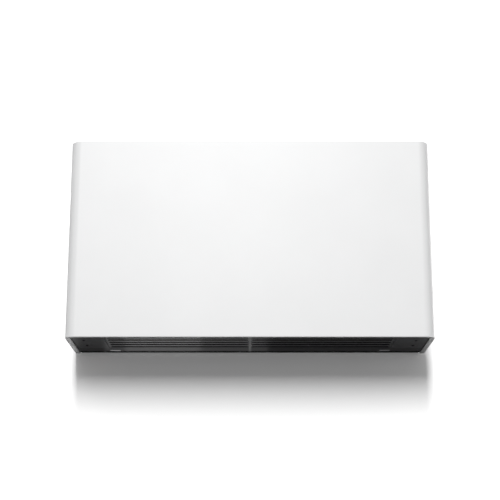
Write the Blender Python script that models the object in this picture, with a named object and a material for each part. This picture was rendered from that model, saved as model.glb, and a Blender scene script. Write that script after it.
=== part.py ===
"""Wall-hung fan convector heater, as an assembly of separate named pieces.

A folded white steel casing pulls forward off a galvanised chassis that hangs on a wall bracket. Air enters through
two slotted filter doors in the black bottom tray, passes the filters, is driven up by two centrifugal fans on one
motor shaft, through a finned hot-water coil, and leaves through the grille in the top.

Units are metres. +X is to the right as the heater is seen from the room, +Y points to the wall, +Z is up.
The origin is the middle of the wall bracket's back face, in the plane of the wall.
"""

import math

import bmesh
import bpy
from mathutils import Vector

MM = 0.001

# ---------------------------------------------------------------- driving dimensions
WIDTH = 1200 * MM
HEIGHT = 672 * MM
DEPTH = 275 * MM
TOP = 112 * MM  # the wall bracket's middle is this far below the top edge
BOTTOM = TOP - HEIGHT
FRONT = -DEPTH
CORNER_RADIUS = 35 * MM  # the casing's two vertical front edges
OPENING_RADIUS = 22 * MM  # the same two corners of its bottom and top openings
SHEET = 1.5 * MM  # every folded sheet
GAP = 0.3 * MM  # between pieces that touch
CASING_FLANGE = 17 * MM  # the casing's inward returns
CASING_HEM = 6 * MM  # the front panel's bottom hem
CASING_BACK = -2 * MM  # the casing stops just short of the wall

# ---------------------------------------------------------------- chassis
CHASSIS_X = 580 * MM  # outer face of the back plate, each side
CHASSIS_FRONT = -262 * MM
CHASSIS_TOP = BOTTOM + 640 * MM
BACK_PLATE_Y = -11 * MM  # front face of the back plate
CHAMBER_X = 476 * MM  # inner face of the fan chamber's walls
DECK_Z = BOTTOM + 318 * MM
CATCH_X = 500 * MM
CATCH_Z = BOTTOM + 626 * MM

# ---------------------------------------------------------------- bottom tray and its doors
TRAY_X = 582 * MM
TRAY_RECESS = 4 * MM  # the tray's underside above the casing's bottom edge
TRAY_Z = BOTTOM + TRAY_RECESS
TRAY_FRONT = -263.8 * MM
STRIP_FRONT = -79 * MM  # behind the doors the tray slopes down
STRIP_BACK = -39 * MM
STRIP_DROP = 3 * MM
CHANNEL_ROOF = BOTTOM + 34 * MM  # the pipe channel along the wall
OPENING_FRONT = -259.5 * MM
OPENING_INNER = 4.6 * MM
OPENING_OUTER = 475 * MM

DOOR_INNER = 5.2 * MM
DOOR_OUTER = 474 * MM
DOOR_FRONT = -258.5 * MM
DOOR_BACK = -84 * MM
DOOR_RIM = 12 * MM
SLOT_COUNT = 5
SLOT_PITCH = 36 * MM
SLOT_WIDTH = 17 * MM
SLOT_FIRST = -255.5 * MM
SLOT_INNER = 7 * MM
SLOT_OUTER = 465 * MM
HINGE_Y = -87.5 * MM
HINGE_Z = TRAY_Z + 6 * MM
HINGE_ROD_RADIUS = 1.75 * MM

FILTER_FRONT = -256.3 * MM
FILTER_BACK = -92 * MM
FILTER_INNER = 7.4 * MM
FILTER_OUTER = 471.5 * MM
FILTER_BORDER = 8 * MM
FILTER_HEIGHT = 9 * MM

LATCH_X = 490 * MM
LATCH_Y = -251 * MM

# ---------------------------------------------------------------- fans
FAN_Y = -140 * MM
FAN_Z = BOTTOM + 195 * MM
FAN_X = 255 * MM
FAN_HALF_WIDTH = 100 * MM
WHEEL_RADIUS = 75 * MM
WHEEL_INNER_RADIUS = 60 * MM
WHEEL_HALF_WIDTH = 88 * MM
BLADE_COUNT = 22
SHAFT_RADIUS = 6 * MM
SHAFT_HALF_LENGTH = 300 * MM
MOTOR_RADIUS = 52 * MM
MOTOR_HALF_LENGTH = 65 * MM

# ---------------------------------------------------------------- coil
COIL_HALF_LENGTH = 440 * MM
COIL_BOTTOM = BOTTOM + 345 * MM
COIL_HEIGHT = 70 * MM
COIL_FRONT = -250 * MM
COIL_BACK = -30 * MM
TUBE_RADIUS = 6 * MM
TUBE_PITCH = 44 * MM
TUBES_ACROSS = 5
ROW_HEIGHTS = (COIL_BOTTOM + 17 * MM, COIL_BOTTOM + 53 * MM)
BEND_START = COIL_HALF_LENGTH + 6 * MM
COIL_TUBE_END = -500 * MM

# ---------------------------------------------------------------- pipes and cables
PIPE_RADIUS = 7.5 * MM
PIPE_DROPS_X = (-540 * MM, -517 * MM)  # flow, return
PIPE_DROP_Y = -26 * MM
PIPE_END_Z = BOTTOM + 18 * MM
GLAND_X = 520 * MM
CABLE_X = CHAMBER_X + 20 * MM
CABLE_Y = -60 * MM
CABLE_Z = DECK_Z - 12 * MM

FINISHES = {  # colour, roughness, metallic
    "white_powder_coat": ((0.84, 0.85, 0.86), 0.38, 0.0),
    "black_powder_coat": ((0.022, 0.023, 0.025), 0.45, 0.0),
    "galvanised_steel": ((0.56, 0.58, 0.60), 0.42, 1.0),
    "zinc_plated_steel": ((0.66, 0.67, 0.68), 0.30, 1.0),
    "aluminium_fin": ((0.78, 0.79, 0.81), 0.35, 1.0),
    "copper": ((0.72, 0.38, 0.24), 0.30, 1.0),
    "brass": ((0.76, 0.60, 0.29), 0.30, 1.0),
    "motor_enamel": ((0.06, 0.065, 0.07), 0.50, 0.0),
    "black_plastic": ((0.03, 0.03, 0.032), 0.55, 0.0),
    "grey_plastic": ((0.35, 0.36, 0.37), 0.55, 0.0),
    "white_plastic": ((0.80, 0.80, 0.78), 0.45, 0.0),
    "filter_fabric": ((0.30, 0.31, 0.32), 0.95, 0.0),
    "liner_foam": ((0.07, 0.07, 0.075), 0.95, 0.0),
    "circuit_green": ((0.05, 0.22, 0.10), 0.45, 0.0),
    "cable_grey": ((0.20, 0.20, 0.21), 0.60, 0.0),
}


def finish_material(name):
    """The named finish as a Principled BSDF material, made once."""
    found = bpy.data.materials.get(name)
    if found:
        return found
    colour, roughness, metallic = FINISHES[name]
    made = bpy.data.materials.new(name)
    made.use_nodes = True
    shader = made.node_tree.nodes["Principled BSDF"]
    shader.inputs["Base Color"].default_value = (*colour, 1.0)
    shader.inputs["Roughness"].default_value = roughness
    shader.inputs["Metallic"].default_value = metallic
    made.diffuse_color = (*colour, 1.0)
    return made


# ---------------------------------------------------------------- outlines
def circle(centre, radius, sides=16):
    """Points of a circle in a plane."""
    turns = [2 * math.pi * (i + 0.5) / sides for i in range(sides)]
    return [(centre[0] + radius * math.cos(a), centre[1] + radius * math.sin(a)) for a in turns]


def arc(centre, radius, start_deg, end_deg, steps):
    """Points along an arc, both ends included."""
    angles = [math.radians(start_deg + (end_deg - start_deg) * i / steps) for i in range(steps + 1)]
    return [(centre[0] + radius * math.cos(a), centre[1] + radius * math.sin(a)) for a in angles]


def rectangle(low, high):
    return [(low[0], low[1]), (high[0], low[1]), (high[0], high[1]), (low[0], high[1])]


def front_rounded(half_width, front, back, radius, steps=8):
    """A plan outline whose two front corners are round."""
    right = arc((half_width - radius, front + radius), radius, 0, -90, steps)
    left = [(-x, y) for x, y in reversed(right)]
    return [(half_width, back), *right, *left, (-half_width, back)]


class Shape:
    """A bmesh that collects closed pieces."""

    PLANE = {"x": (1, 2, 0), "y": (0, 2, 1), "z": (0, 1, 2)}

    def __init__(self):
        self.bm = bmesh.new()

    def point(self, axis, pair, along):
        """The 3D point with the pair in the plane across the axis, and along on the axis."""
        first, second, third = self.PLANE[axis]
        co = [0.0, 0.0, 0.0]
        co[first], co[second], co[third] = pair[0], pair[1], along
        return co

    def prism(self, outline, axis, low, high):
        """The outline, in the plane across the axis, extruded from low to high."""
        base = [self.bm.verts.new(self.point(axis, pair, low)) for pair in outline]
        face = self.bm.faces.new(base)
        extruded = bmesh.ops.extrude_face_region(self.bm, geom=[face])["geom"]
        moved = [v for v in extruded if isinstance(v, bmesh.types.BMVert)]
        bmesh.ops.translate(self.bm, verts=moved, vec=self.point(axis, (0, 0), high - low))
        return self

    def box(self, low, high):
        return self.prism(rectangle(low[:2], high[:2]), "z", low[2], high[2])

    def rod(self, axis, centre, radius, low, high, sides=16):
        return self.prism(circle(centre, radius, sides), axis, low, high)

    def turned(self, axis, centre, profile, sides=20, bored=False):
        """A profile of (along, radius) pairs turned about the axis. A bored profile is a closed loop."""
        rings = [
            [self.bm.verts.new(self.point(axis, pair, along)) for pair in circle(centre, radius, sides)]
            for along, radius in profile
        ]
        pairs = list(zip(rings, rings[1:]))
        if bored:
            pairs.append((rings[-1], rings[0]))
        else:
            self.bm.faces.new(rings[0])
            self.bm.faces.new(rings[-1])
        for a, b in pairs:
            for i in range(sides):
                j = (i + 1) % sides
                self.bm.faces.new((a[i], a[j], b[j], b[i]))
        return self

    def object(self, name, finish=None):
        """The collected pieces as an object whose origin is the middle of its box."""
        bmesh.ops.recalc_face_normals(self.bm, faces=self.bm.faces)
        corners = [v.co for v in self.bm.verts]
        low = Vector([min(co[k] for co in corners) for k in range(3)])
        high = Vector([max(co[k] for co in corners) for k in range(3)])
        middle = (low + high) / 2
        bmesh.ops.translate(self.bm, verts=self.bm.verts, vec=-middle)
        mesh = bpy.data.meshes.new(name)
        self.bm.to_mesh(mesh)
        self.bm.free()
        made = bpy.data.objects.new(name, mesh)
        made.location = middle
        bpy.context.scene.collection.objects.link(made)
        if finish:
            mesh.materials.append(finish_material(finish))
            mesh.shade_smooth()
            mesh.set_sharp_from_angle(angle=math.radians(35))
        return made


def combine(target, shape, operation):
    """A Boolean of the target with a shape, which stays in the scene as a hidden helper."""
    helper = shape.object(f"{target.name}_{operation.lower()}_{len(target.modifiers)}")
    helper.hide_render = True
    helper.display_type = "WIRE"
    modifier = target.modifiers.new(operation.title(), "BOOLEAN")
    modifier.operation = operation
    modifier.solver = "EXACT"
    modifier.object = helper
    return target


def cut(target, shape):
    return combine(target, shape, "DIFFERENCE")


def join(target, shape):
    return combine(target, shape, "UNION")


def box_piece(name, low, high, finish):
    return Shape().box(low, high).object(name, finish)


def joint_empty(name, location, members):
    """An empty on a joint's axis, with the moving pieces parented to it."""
    empty = bpy.data.objects.new(name, None)
    empty.location = location
    empty.empty_display_size = 20 * MM
    bpy.context.scene.collection.objects.link(empty)
    for piece in members:
        piece.parent = empty
        piece.matrix_parent_inverse.translation = -Vector(location)
    return empty


def sided(side, low_x, high_x):
    """The ordered x range of a piece on the left (-1) or the right (+1) side."""
    ends = sorted((side * low_x, side * high_x))
    return ends[0], ends[1]


SIDES = (("left", -1), ("right", 1))


# ---------------------------------------------------------------- casing
def make_casing():
    """The folded casing: front and sides in one sheet, with returns at the top, bottom and wall."""
    half = WIDTH / 2
    casing = Shape().prism(front_rounded(half, FRONT, CASING_BACK, CORNER_RADIUS), "z", BOTTOM, TOP)
    casing = casing.object("front_casing", "white_powder_coat")
    cavity = front_rounded(half - SHEET, FRONT + SHEET, CASING_BACK - SHEET, CORNER_RADIUS - SHEET)
    cut(casing, Shape().prism(cavity, "z", BOTTOM + SHEET, TOP - SHEET))
    reach = 5 * MM
    opening = half - CASING_FLANGE
    bottom_hole = front_rounded(opening, FRONT + CASING_HEM, reach, OPENING_RADIUS)
    cut(casing, Shape().prism(bottom_hole, "z", BOTTOM - reach, BOTTOM + reach))
    top_hole = front_rounded(opening, FRONT + CASING_FLANGE, reach, OPENING_RADIUS)
    cut(casing, Shape().prism(top_hole, "z", TOP - reach, TOP + reach))
    back_hole = rectangle((-opening, BOTTOM - reach), (opening, TOP + reach))
    cut(casing, Shape().prism(back_hole, "y", CASING_BACK - reach, reach))
    return casing


def make_liner():
    """Flame-retardant foam stuck to the inside of the front panel."""
    front = FRONT + SHEET + GAP
    thickness = 5 * MM
    low = (-552 * MM, front, BOTTOM + 100 * MM)
    high = (552 * MM, front + thickness, BOTTOM + 600 * MM)
    return box_piece("casing_liner", low, high, "liner_foam")


def make_catches():
    """Ball studs on the upper rail, and the clips on the casing that grip them."""
    studs, clips = [], []
    rail_face = CHASSIS_FRONT - GAP
    tip = rail_face - 6.5 * MM
    for word, side in SIDES:
        centre = (side * CATCH_X, CATCH_Z)
        profile = [
            (rail_face, 5 * MM),
            (rail_face - 1.5 * MM, 5 * MM),
            (rail_face - 1.5 * MM, 2 * MM),
            (rail_face - 3 * MM, 2 * MM),
            (rail_face - 4.3 * MM, 3.2 * MM),
            (tip + 0.8 * MM, 3.2 * MM),
            (tip, 2 * MM),
        ]
        studs.append(Shape().turned("y", centre, profile, 14).object(f"catch_stud_{word}", "zinc_plated_steel"))
        front = FRONT + SHEET + GAP
        half = 9 * MM
        clip = Shape().box(
            (centre[0] - half, front, CATCH_Z - half), (centre[0] + half, rail_face - 2.2 * MM, CATCH_Z + half)
        )
        clip = clip.object(f"catch_clip_{word}", "black_plastic")
        cut(clip, Shape().rod("y", centre, 4 * MM, front + 1.5 * MM, rail_face + 5 * MM, 14))
        clips.append(clip)
    return studs, clips


# ---------------------------------------------------------------- wall side
def make_wall_bracket():
    """A flat rail for the wall whose top edge is folded into an upstand."""
    half_length, half_height = 430 * MM, 30 * MM
    plate, lip_front, upstand = 2 * MM, -7 * MM, 12 * MM
    top = half_height
    profile = [
        (0, -half_height),
        (0, top),
        (lip_front + SHEET, top),
        (lip_front + SHEET, top + upstand),
        (lip_front, top + upstand),
        (lip_front, top - plate),
        (-plate, top - plate),
        (-plate, -half_height),
    ]
    bracket = Shape().prism(profile, "x", -half_length, half_length).object("wall_bracket", "galvanised_steel")
    holes = Shape()
    for x in (-400 * MM, -200 * MM, 200 * MM, 400 * MM):
        slot = arc((x + 5 * MM, 0), 4 * MM, -90, 90, 6) + arc((x - 5 * MM, 0), 4 * MM, 90, 270, 6)
        holes.prism(slot, "y", -2 * plate, plate)
    return cut(bracket, holes)


def make_hanger_rail():
    """The folded rail on the back plate that hooks over the wall bracket's upstand."""
    web_back = -7.7 * MM
    web_front = BACK_PLATE_Y + SHEET + GAP
    rest = 42 * MM + GAP  # just over the upstand's top edge
    profile = [
        (web_front, 18 * MM),
        (web_back, 18 * MM),
        (web_back, rest),
        (-4.7 * MM, rest),
        (-4.7 * MM, 34 * MM),
        (-3.3 * MM, 34 * MM),
        (-3.3 * MM, rest + SHEET),
        (web_front, rest + SHEET),
    ]
    return Shape().prism(profile, "x", -410 * MM, 410 * MM).object("hanger_rail", "galvanised_steel")


def make_back_plate():
    """A shallow pan: a sheet with its four edges turned back to the wall, and two cable knock-outs."""
    low_z, high_z, wall = BOTTOM + 3 * MM, CHASSIS_TOP, -GAP
    outer = rectangle((-CHASSIS_X, low_z), (CHASSIS_X, high_z))
    plate = Shape().prism(outer, "y", BACK_PLATE_Y, wall).object("back_plate", "galvanised_steel")
    inner = rectangle((-CHASSIS_X + SHEET, low_z + SHEET), (CHASSIS_X - SHEET, high_z - SHEET))
    cut(plate, Shape().prism(inner, "y", BACK_PLATE_Y + SHEET, 5 * MM))
    holes = Shape()
    for side in (-1, 1):
        for x, z, half_x, half_z in ((518, 90, 26, 34), (330, 560, 30, 12)):
            centre_x, centre_z = side * x * MM, BOTTOM + z * MM
            low = (centre_x - half_x * MM, centre_z - half_z * MM)
            high = (centre_x + half_x * MM, centre_z + half_z * MM)
            holes.prism(rectangle(low, high), "y", BACK_PLATE_Y - 2 * MM, 5 * MM)
        holes.rod("y", (side * 400 * MM, BOTTOM + 60 * MM), 4 * MM, BACK_PLATE_Y - 2 * MM, 5 * MM, 12)
    return cut(plate, holes)


# ---------------------------------------------------------------- chassis
def make_chassis_ends():
    """C-shaped end plates from the back plate to the front rails."""
    back = BACK_PLATE_Y - GAP
    flange = 18 * MM
    for word, side in SIDES:
        outer, web = side * CHASSIS_X, side * (CHASSIS_X - SHEET)
        inner = side * (CHASSIS_X - flange)
        outline = [
            (outer, back),
            (outer, CHASSIS_FRONT),
            (inner, CHASSIS_FRONT),
            (inner, CHASSIS_FRONT + SHEET),
            (web, CHASSIS_FRONT + SHEET),
            (web, back - SHEET),
            (inner, back - SHEET),
            (inner, back),
        ]
        end = Shape().prism(outline, "z", CHANNEL_ROOF + 3 * MM, CHASSIS_TOP)
        end = end.object(f"chassis_end_{word}", "galvanised_steel")
        window = rectangle((-200 * MM, BOTTOM + 200 * MM), (-90 * MM, BOTTOM + 480 * MM))
        low, high = sorted((side * (CHASSIS_X - 5 * MM), side * (CHASSIS_X + 5 * MM)))
        cut(end, Shape().prism(window, "x", low, high))


def make_front_rails():
    """Two cross rails between the end plates, behind the casing."""
    half = CHASSIS_X - 18 * MM - GAP
    lip = 12 * MM
    for name, low_z, high_z in (
        ("upper_rail", BOTTOM + 612 * MM, BOTTOM + 640 * MM),
        ("lower_rail", BOTTOM + 44 * MM, BOTTOM + 70 * MM),
    ):
        outline = [
            (CHASSIS_FRONT, low_z),
            (CHASSIS_FRONT, high_z),
            (CHASSIS_FRONT + lip, high_z),
            (CHASSIS_FRONT + lip, high_z - SHEET),
            (CHASSIS_FRONT + SHEET, high_z - SHEET),
            (CHASSIS_FRONT + SHEET, low_z + SHEET),
            (CHASSIS_FRONT + lip, low_z + SHEET),
            (CHASSIS_FRONT + lip, low_z),
        ]
        Shape().prism(outline, "x", -half, half).object(name, "galvanised_steel")


def make_chamber_walls():
    """Sheet walls between the air path and the two end compartments."""
    low_z, high_z = CHANNEL_ROOF + 3 * MM, BOTTOM + 610 * MM
    front, back = CHASSIS_FRONT + 14 * MM, BACK_PLATE_Y - GAP
    flange = 12 * MM
    for word, side in SIDES:
        face, outer = side * CHAMBER_X, side * (CHAMBER_X + SHEET)
        edge = side * (CHAMBER_X + flange)
        outline = [
            (face, back),
            (face, front),
            (edge, front),
            (edge, front + SHEET),
            (outer, front + SHEET),
            (outer, back - SHEET),
            (edge, back - SHEET),
            (edge, back),
        ]
        wall = Shape().prism(outline, "z", low_z, high_z).object(f"chamber_wall_{word}", "galvanised_steel")
        low, high = sorted((side * (CHAMBER_X - 5 * MM), side * (CHAMBER_X + 5 * MM)))
        holes = Shape()
        if side < 0:
            for height in ROW_HEIGHTS:
                holes.rod("x", (tube_y(0), height), TUBE_RADIUS + 2 * MM, low, high, 12)
        else:
            holes.rod("x", (CABLE_Y, CABLE_Z), 6 * MM, low, high, 12)
        cut(wall, holes)


# ---------------------------------------------------------------- bottom tray, doors and filters
def make_tray():
    """The folded black tray: front lip, flat, sloping strip, and the channel along the wall."""
    under, upper = TRAY_Z, TRAY_Z + SHEET
    strip_low = under - STRIP_DROP
    lip = 54 * MM
    wall_back = BACK_PLATE_Y - GAP
    profile = [
        (TRAY_FRONT, under),
        (STRIP_FRONT, under),
        (STRIP_BACK, strip_low),
        (STRIP_BACK, CHANNEL_ROOF),
        (wall_back - SHEET, CHANNEL_ROOF),
        (wall_back - SHEET, BOTTOM + 3 * MM),
        (wall_back, BOTTOM + 3 * MM),
        (wall_back, CHANNEL_ROOF + SHEET),
        (STRIP_BACK - SHEET, CHANNEL_ROOF + SHEET),
        (STRIP_BACK - SHEET, strip_low + SHEET),
        (STRIP_FRONT, upper),
        (TRAY_FRONT + SHEET, upper),
        (TRAY_FRONT + SHEET, under + lip),
        (TRAY_FRONT, under + lip),
    ]
    tray = Shape().prism(profile, "x", -TRAY_X, TRAY_X).object("bottom_tray", "black_powder_coat")
    lugs = Shape()
    lug_low, lug_high = TRAY_Z + 0.5 * MM, HINGE_Z + 6 * MM
    for low_x, high_x in ((-481, -478), (-2, 2), (478, 481)):
        lugs.box(
            (low_x * MM, HINGE_Y - 6 * MM, lug_low), (high_x * MM, STRIP_FRONT + 3 * MM, lug_high)
        )
    join(tray, lugs)
    cutter = Shape()
    for side in (-1, 1):
        low_x, high_x = sided(side, OPENING_INNER, OPENING_OUTER)
        cutter.box(
            (low_x, OPENING_FRONT, BOTTOM - 10 * MM), (high_x, STRIP_FRONT - 1 * MM, lug_high + 10 * MM)
        )
        cutter.rod("z", (side * LATCH_X, LATCH_Y), 7.5 * MM, BOTTOM - 10 * MM, BOTTOM + 12 * MM, 20)
    for x in PIPE_DROPS_X:
        cutter.rod("z", (x, PIPE_DROP_Y), PIPE_RADIUS + 1 * MM, CHANNEL_ROOF - 5 * MM, CHANNEL_ROOF + 5 * MM, 16)
    cutter.rod("z", (GLAND_X, PIPE_DROP_Y), 8.4 * MM, CHANNEL_ROOF - 5 * MM, CHANNEL_ROOF + 5 * MM, 16)
    cut(tray, cutter)
    rod_bore = Shape().rod("x", (HINGE_Y, HINGE_Z), HINGE_ROD_RADIUS + GAP, -500 * MM, 500 * MM, 12)
    return cut(tray, rod_bore)


def make_centre_bar():
    """The bar between the two doors, which thins towards the back of the sloping strip."""
    front, back = TRAY_FRONT + 2 * MM, STRIP_BACK - 1 * MM
    profile = [
        (front, TRAY_Z - 2.5 * MM),
        (STRIP_FRONT, TRAY_Z - 2.5 * MM),
        (back, BOTTOM + 0.1 * MM),
        (back, TRAY_Z - STRIP_DROP - GAP),
        (STRIP_FRONT, TRAY_Z - GAP),
        (front, TRAY_Z - GAP),
    ]
    return Shape().prism(profile, "x", -OPENING_INNER, OPENING_INNER).object("centre_bar", "black_powder_coat")


def make_door(word, side):
    """A slotted pan that holds the filter and hangs on the hinge rod."""
    low_x, high_x = sided(side, DOOR_INNER, DOOR_OUTER)
    low = (low_x, DOOR_FRONT, TRAY_Z)
    high = (high_x, DOOR_BACK, TRAY_Z + DOOR_RIM)
    door = box_piece(f"filter_door_{word}", low, high, "black_powder_coat")
    inside = Shape().box(
        (low_x + SHEET, DOOR_FRONT + SHEET, TRAY_Z + SHEET),
        (high_x - SHEET, DOOR_BACK - SHEET, TRAY_Z + DOOR_RIM + 5 * MM),
    )
    cut(door, inside)
    slots = Shape()
    slot_low, slot_high = sided(side, SLOT_INNER, SLOT_OUTER)
    for i in range(SLOT_COUNT):
        start = SLOT_FIRST + i * SLOT_PITCH
        slots.box((slot_low, start, TRAY_Z - 5 * MM), (slot_high, start + SLOT_WIDTH, TRAY_Z + SHEET + 1 * MM))
    latch_slot_low, latch_slot_high = sided(side, DOOR_OUTER - 4 * MM, DOOR_OUTER + 4 * MM)
    slots.box(
        (latch_slot_low, LATCH_Y - 4 * MM, TRAY_Z + 6.5 * MM),
        (latch_slot_high, LATCH_Y + 10 * MM, TRAY_Z + 10 * MM),
    )
    cut(door, slots)
    rod_bore = Shape().rod("x", (HINGE_Y, HINGE_Z), HINGE_ROD_RADIUS + GAP, low_x - 5 * MM, high_x + 5 * MM, 12)
    return cut(door, rod_bore)


def make_filter(word, side):
    """A plastic frame with cross ribs, and the filter medium held above the ribs."""
    low_x, high_x = sided(side, FILTER_INNER, FILTER_OUTER)
    base = TRAY_Z + SHEET + GAP
    frame = box_piece(
        f"filter_frame_{word}",
        (low_x, FILTER_FRONT, base),
        (high_x, FILTER_BACK, base + FILTER_HEIGHT),
        "black_plastic",
    )
    inner_low = (low_x + FILTER_BORDER, FILTER_FRONT + FILTER_BORDER)
    inner_high = (high_x - FILTER_BORDER, FILTER_BACK - FILTER_BORDER)
    rib_top = base + 2.5 * MM
    cut(frame, Shape().box((*inner_low, rib_top), (*inner_high, base + 20 * MM)))
    cells = Shape()
    cell_count, rib = 4, 4 * MM
    pitch = (inner_high[0] - inner_low[0] + rib) / cell_count
    middle = (inner_low[1] + inner_high[1]) / 2
    for i in range(cell_count):
        left = inner_low[0] + i * pitch
        for low_y, high_y in ((inner_low[1], middle - rib / 2), (middle + rib / 2, inner_high[1])):
            cells.box((left, low_y, base - 5 * MM), (left + pitch - rib, high_y, rib_top + 0.5 * MM))
    cut(frame, cells)
    mesh_low = (inner_low[0] + GAP, inner_low[1] + GAP, rib_top + GAP)
    mesh_high = (inner_high[0] - GAP, inner_high[1] - GAP, rib_top + 4.5 * MM)
    medium = box_piece(f"filter_medium_{word}", mesh_low, mesh_high, "filter_fabric")
    return frame, medium


def make_hinge_rod():
    """One rod through the tray's three lugs and both doors."""
    half = 484 * MM
    return Shape().rod("x", (HINGE_Y, HINGE_Z), HINGE_ROD_RADIUS, -half, half, 12).object(
        "hinge_rod", "zinc_plated_steel"
    )


def make_latch(word, side):
    """A quarter-turn latch: slotted head in the tray's access hole, stem, and the tongue that locks the door."""
    centre = (side * LATCH_X, LATCH_Y)
    head_low = TRAY_Z + 0.5 * MM
    tongue_low, tongue_high = TRAY_Z + 7 * MM, TRAY_Z + 9.5 * MM
    profile = [
        (head_low, 6 * MM),
        (head_low + 0.6 * MM, 6.6 * MM),
        (TRAY_Z + 4.5 * MM, 6.6 * MM),
        (TRAY_Z + 4.5 * MM, 3 * MM),
        (TRAY_Z + 20 * MM, 3 * MM),
        (TRAY_Z + 20 * MM, 5.5 * MM),
        (TRAY_Z + 23 * MM, 5.5 * MM),
    ]
    latch = Shape().turned("z", centre, profile, 16).object(f"door_latch_{word}", "black_plastic")
    tongue = Shape().box(
        (centre[0] - 3 * MM, LATCH_Y - 5 * MM, tongue_low), (centre[0] + 3 * MM, LATCH_Y + 18 * MM, tongue_high)
    )
    join(latch, tongue)
    slot = Shape().box(
        (centre[0] - 8 * MM, LATCH_Y - 0.8 * MM, BOTTOM - 5 * MM),
        (centre[0] + 8 * MM, LATCH_Y + 0.8 * MM, head_low + 2 * MM),
    )
    return cut(latch, slot)


def make_latch_plate(word, side):
    """The bent plate on the tray that the latch turns in."""
    low_y, high_y = LATCH_Y - 10 * MM, LATCH_Y + 14 * MM
    foot, top = TRAY_Z + SHEET + GAP, TRAY_Z + 16 * MM
    near, far, toe = (side * (LATCH_X + d * MM) for d in (-11, 24, 36))
    inner = side * (LATCH_X + 24 * MM - SHEET)
    outline = [
        (near, top),
        (far, top),
        (far, foot + SHEET),
        (toe, foot + SHEET),
        (toe, foot),
        (inner, foot),
        (inner, top - SHEET),
        (near, top - SHEET),
    ]
    plate = Shape().prism(outline, "y", low_y, high_y).object(f"latch_plate_{word}", "galvanised_steel")
    bore = Shape().rod("z", (side * LATCH_X, LATCH_Y), 3 * MM + GAP, top - 5 * MM, top + 5 * MM, 16)
    return cut(plate, bore)


def make_door_stops():
    """Small bright plates under the sloping strip that stop each door when it hangs open."""
    slope = STRIP_DROP / (STRIP_BACK - STRIP_FRONT)
    low_y, high_y = -58 * MM, -46 * MM
    thickness = 0.8 * MM
    for word, side in SIDES:
        low_x, high_x = sided(side, 440 * MM, 475 * MM)
        tops = [TRAY_Z - slope * (y - STRIP_FRONT) - GAP for y in (low_y, high_y)]
        outline = [
            (low_y, tops[0] - thickness),
            (high_y, tops[1] - thickness),
            (high_y, tops[1]),
            (low_y, tops[0]),
        ]
        Shape().prism(outline, "x", low_x, high_x).object(f"door_stop_{word}", "zinc_plated_steel")


# ---------------------------------------------------------------- fans
def scroll_outline(inset):
    """The fan housing's spiral in (y, z), from the tongue down, forward and up to the outlet in the deck."""
    start_deg, end_deg, steps = 50, -180, 23
    start_radius, end_radius = 82 * MM, 116 * MM
    points = []
    for i in range(steps + 1):
        share = i / steps
        angle = math.radians(start_deg + (end_deg - start_deg) * share)
        radius = start_radius + (end_radius - start_radius) * share - inset
        points.append((FAN_Y + radius * math.cos(angle), FAN_Z + radius * math.sin(angle)))
    top = DECK_Z - GAP if inset == 0 else DECK_Z + 10 * MM
    return [(points[0][0], top), *points, (points[-1][0], top)]


def make_fan_housing(word, side):
    """A scroll with an inlet in each side and its outlet against the deck."""
    centre = side * FAN_X
    low, high = centre - FAN_HALF_WIDTH, centre + FAN_HALF_WIDTH
    housing = Shape().prism(scroll_outline(0), "x", low, high).object(f"fan_housing_{word}", "galvanised_steel")
    cut(housing, Shape().prism(scroll_outline(SHEET), "x", low + SHEET, high - SHEET))
    inlet_radius = 62 * MM
    return cut(housing, Shape().rod("x", (FAN_Y, FAN_Z), inlet_radius, low - 5 * MM, high + 5 * MM, 28))


def make_fan_wheel(word, side):
    """A double-inlet wheel: two shrouds and a middle disc joined by forward-curved blades, with a bored hub."""
    centre = side * FAN_X
    axis = (FAN_Y, FAN_Z)
    disc_half = 1 * MM
    shroud = 3 * MM
    body = Shape()
    for low in (centre - WHEEL_HALF_WIDTH, centre + WHEEL_HALF_WIDTH - shroud):
        profile = [
            (low, WHEEL_INNER_RADIUS - 1 * MM),
            (low, WHEEL_RADIUS),
            (low + shroud, WHEEL_RADIUS),
            (low + shroud, WHEEL_INNER_RADIUS - 1 * MM),
        ]
        body.turned("x", axis, profile, BLADE_COUNT, bored=True)
    bore = SHAFT_RADIUS + GAP
    hub_half, hub_radius = 16 * MM, 14 * MM
    disc = [
        (centre - hub_half, bore),
        (centre - hub_half, hub_radius),
        (centre - disc_half, hub_radius),
        (centre - disc_half, WHEEL_RADIUS),
        (centre + disc_half, WHEEL_RADIUS),
        (centre + disc_half, hub_radius),
        (centre + hub_half, hub_radius),
        (centre + hub_half, bore),
    ]
    body.turned("x", axis, disc, BLADE_COUNT, bored=True)
    wheel = body.object(f"fan_wheel_{word}", "galvanised_steel")
    blades = Shape()
    inner, outer = WHEEL_INNER_RADIUS, WHEEL_RADIUS - 1.5 * MM
    thickness, lean = 0.045, 0.10  # both in radians about the axis
    for i in range(BLADE_COUNT):
        angle = 2 * math.pi * i / BLADE_COUNT
        corners = ((inner, 0.0), (outer, lean), (outer, lean + thickness), (inner, thickness))
        outline = [
            (FAN_Y + r * math.cos(angle + turn), FAN_Z + r * math.sin(angle + turn)) for r, turn in corners
        ]
        blades.prism(outline, "x", centre - WHEEL_HALF_WIDTH + 1 * MM, centre + WHEEL_HALF_WIDTH - 1 * MM)
    return join(wheel, blades)


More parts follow.
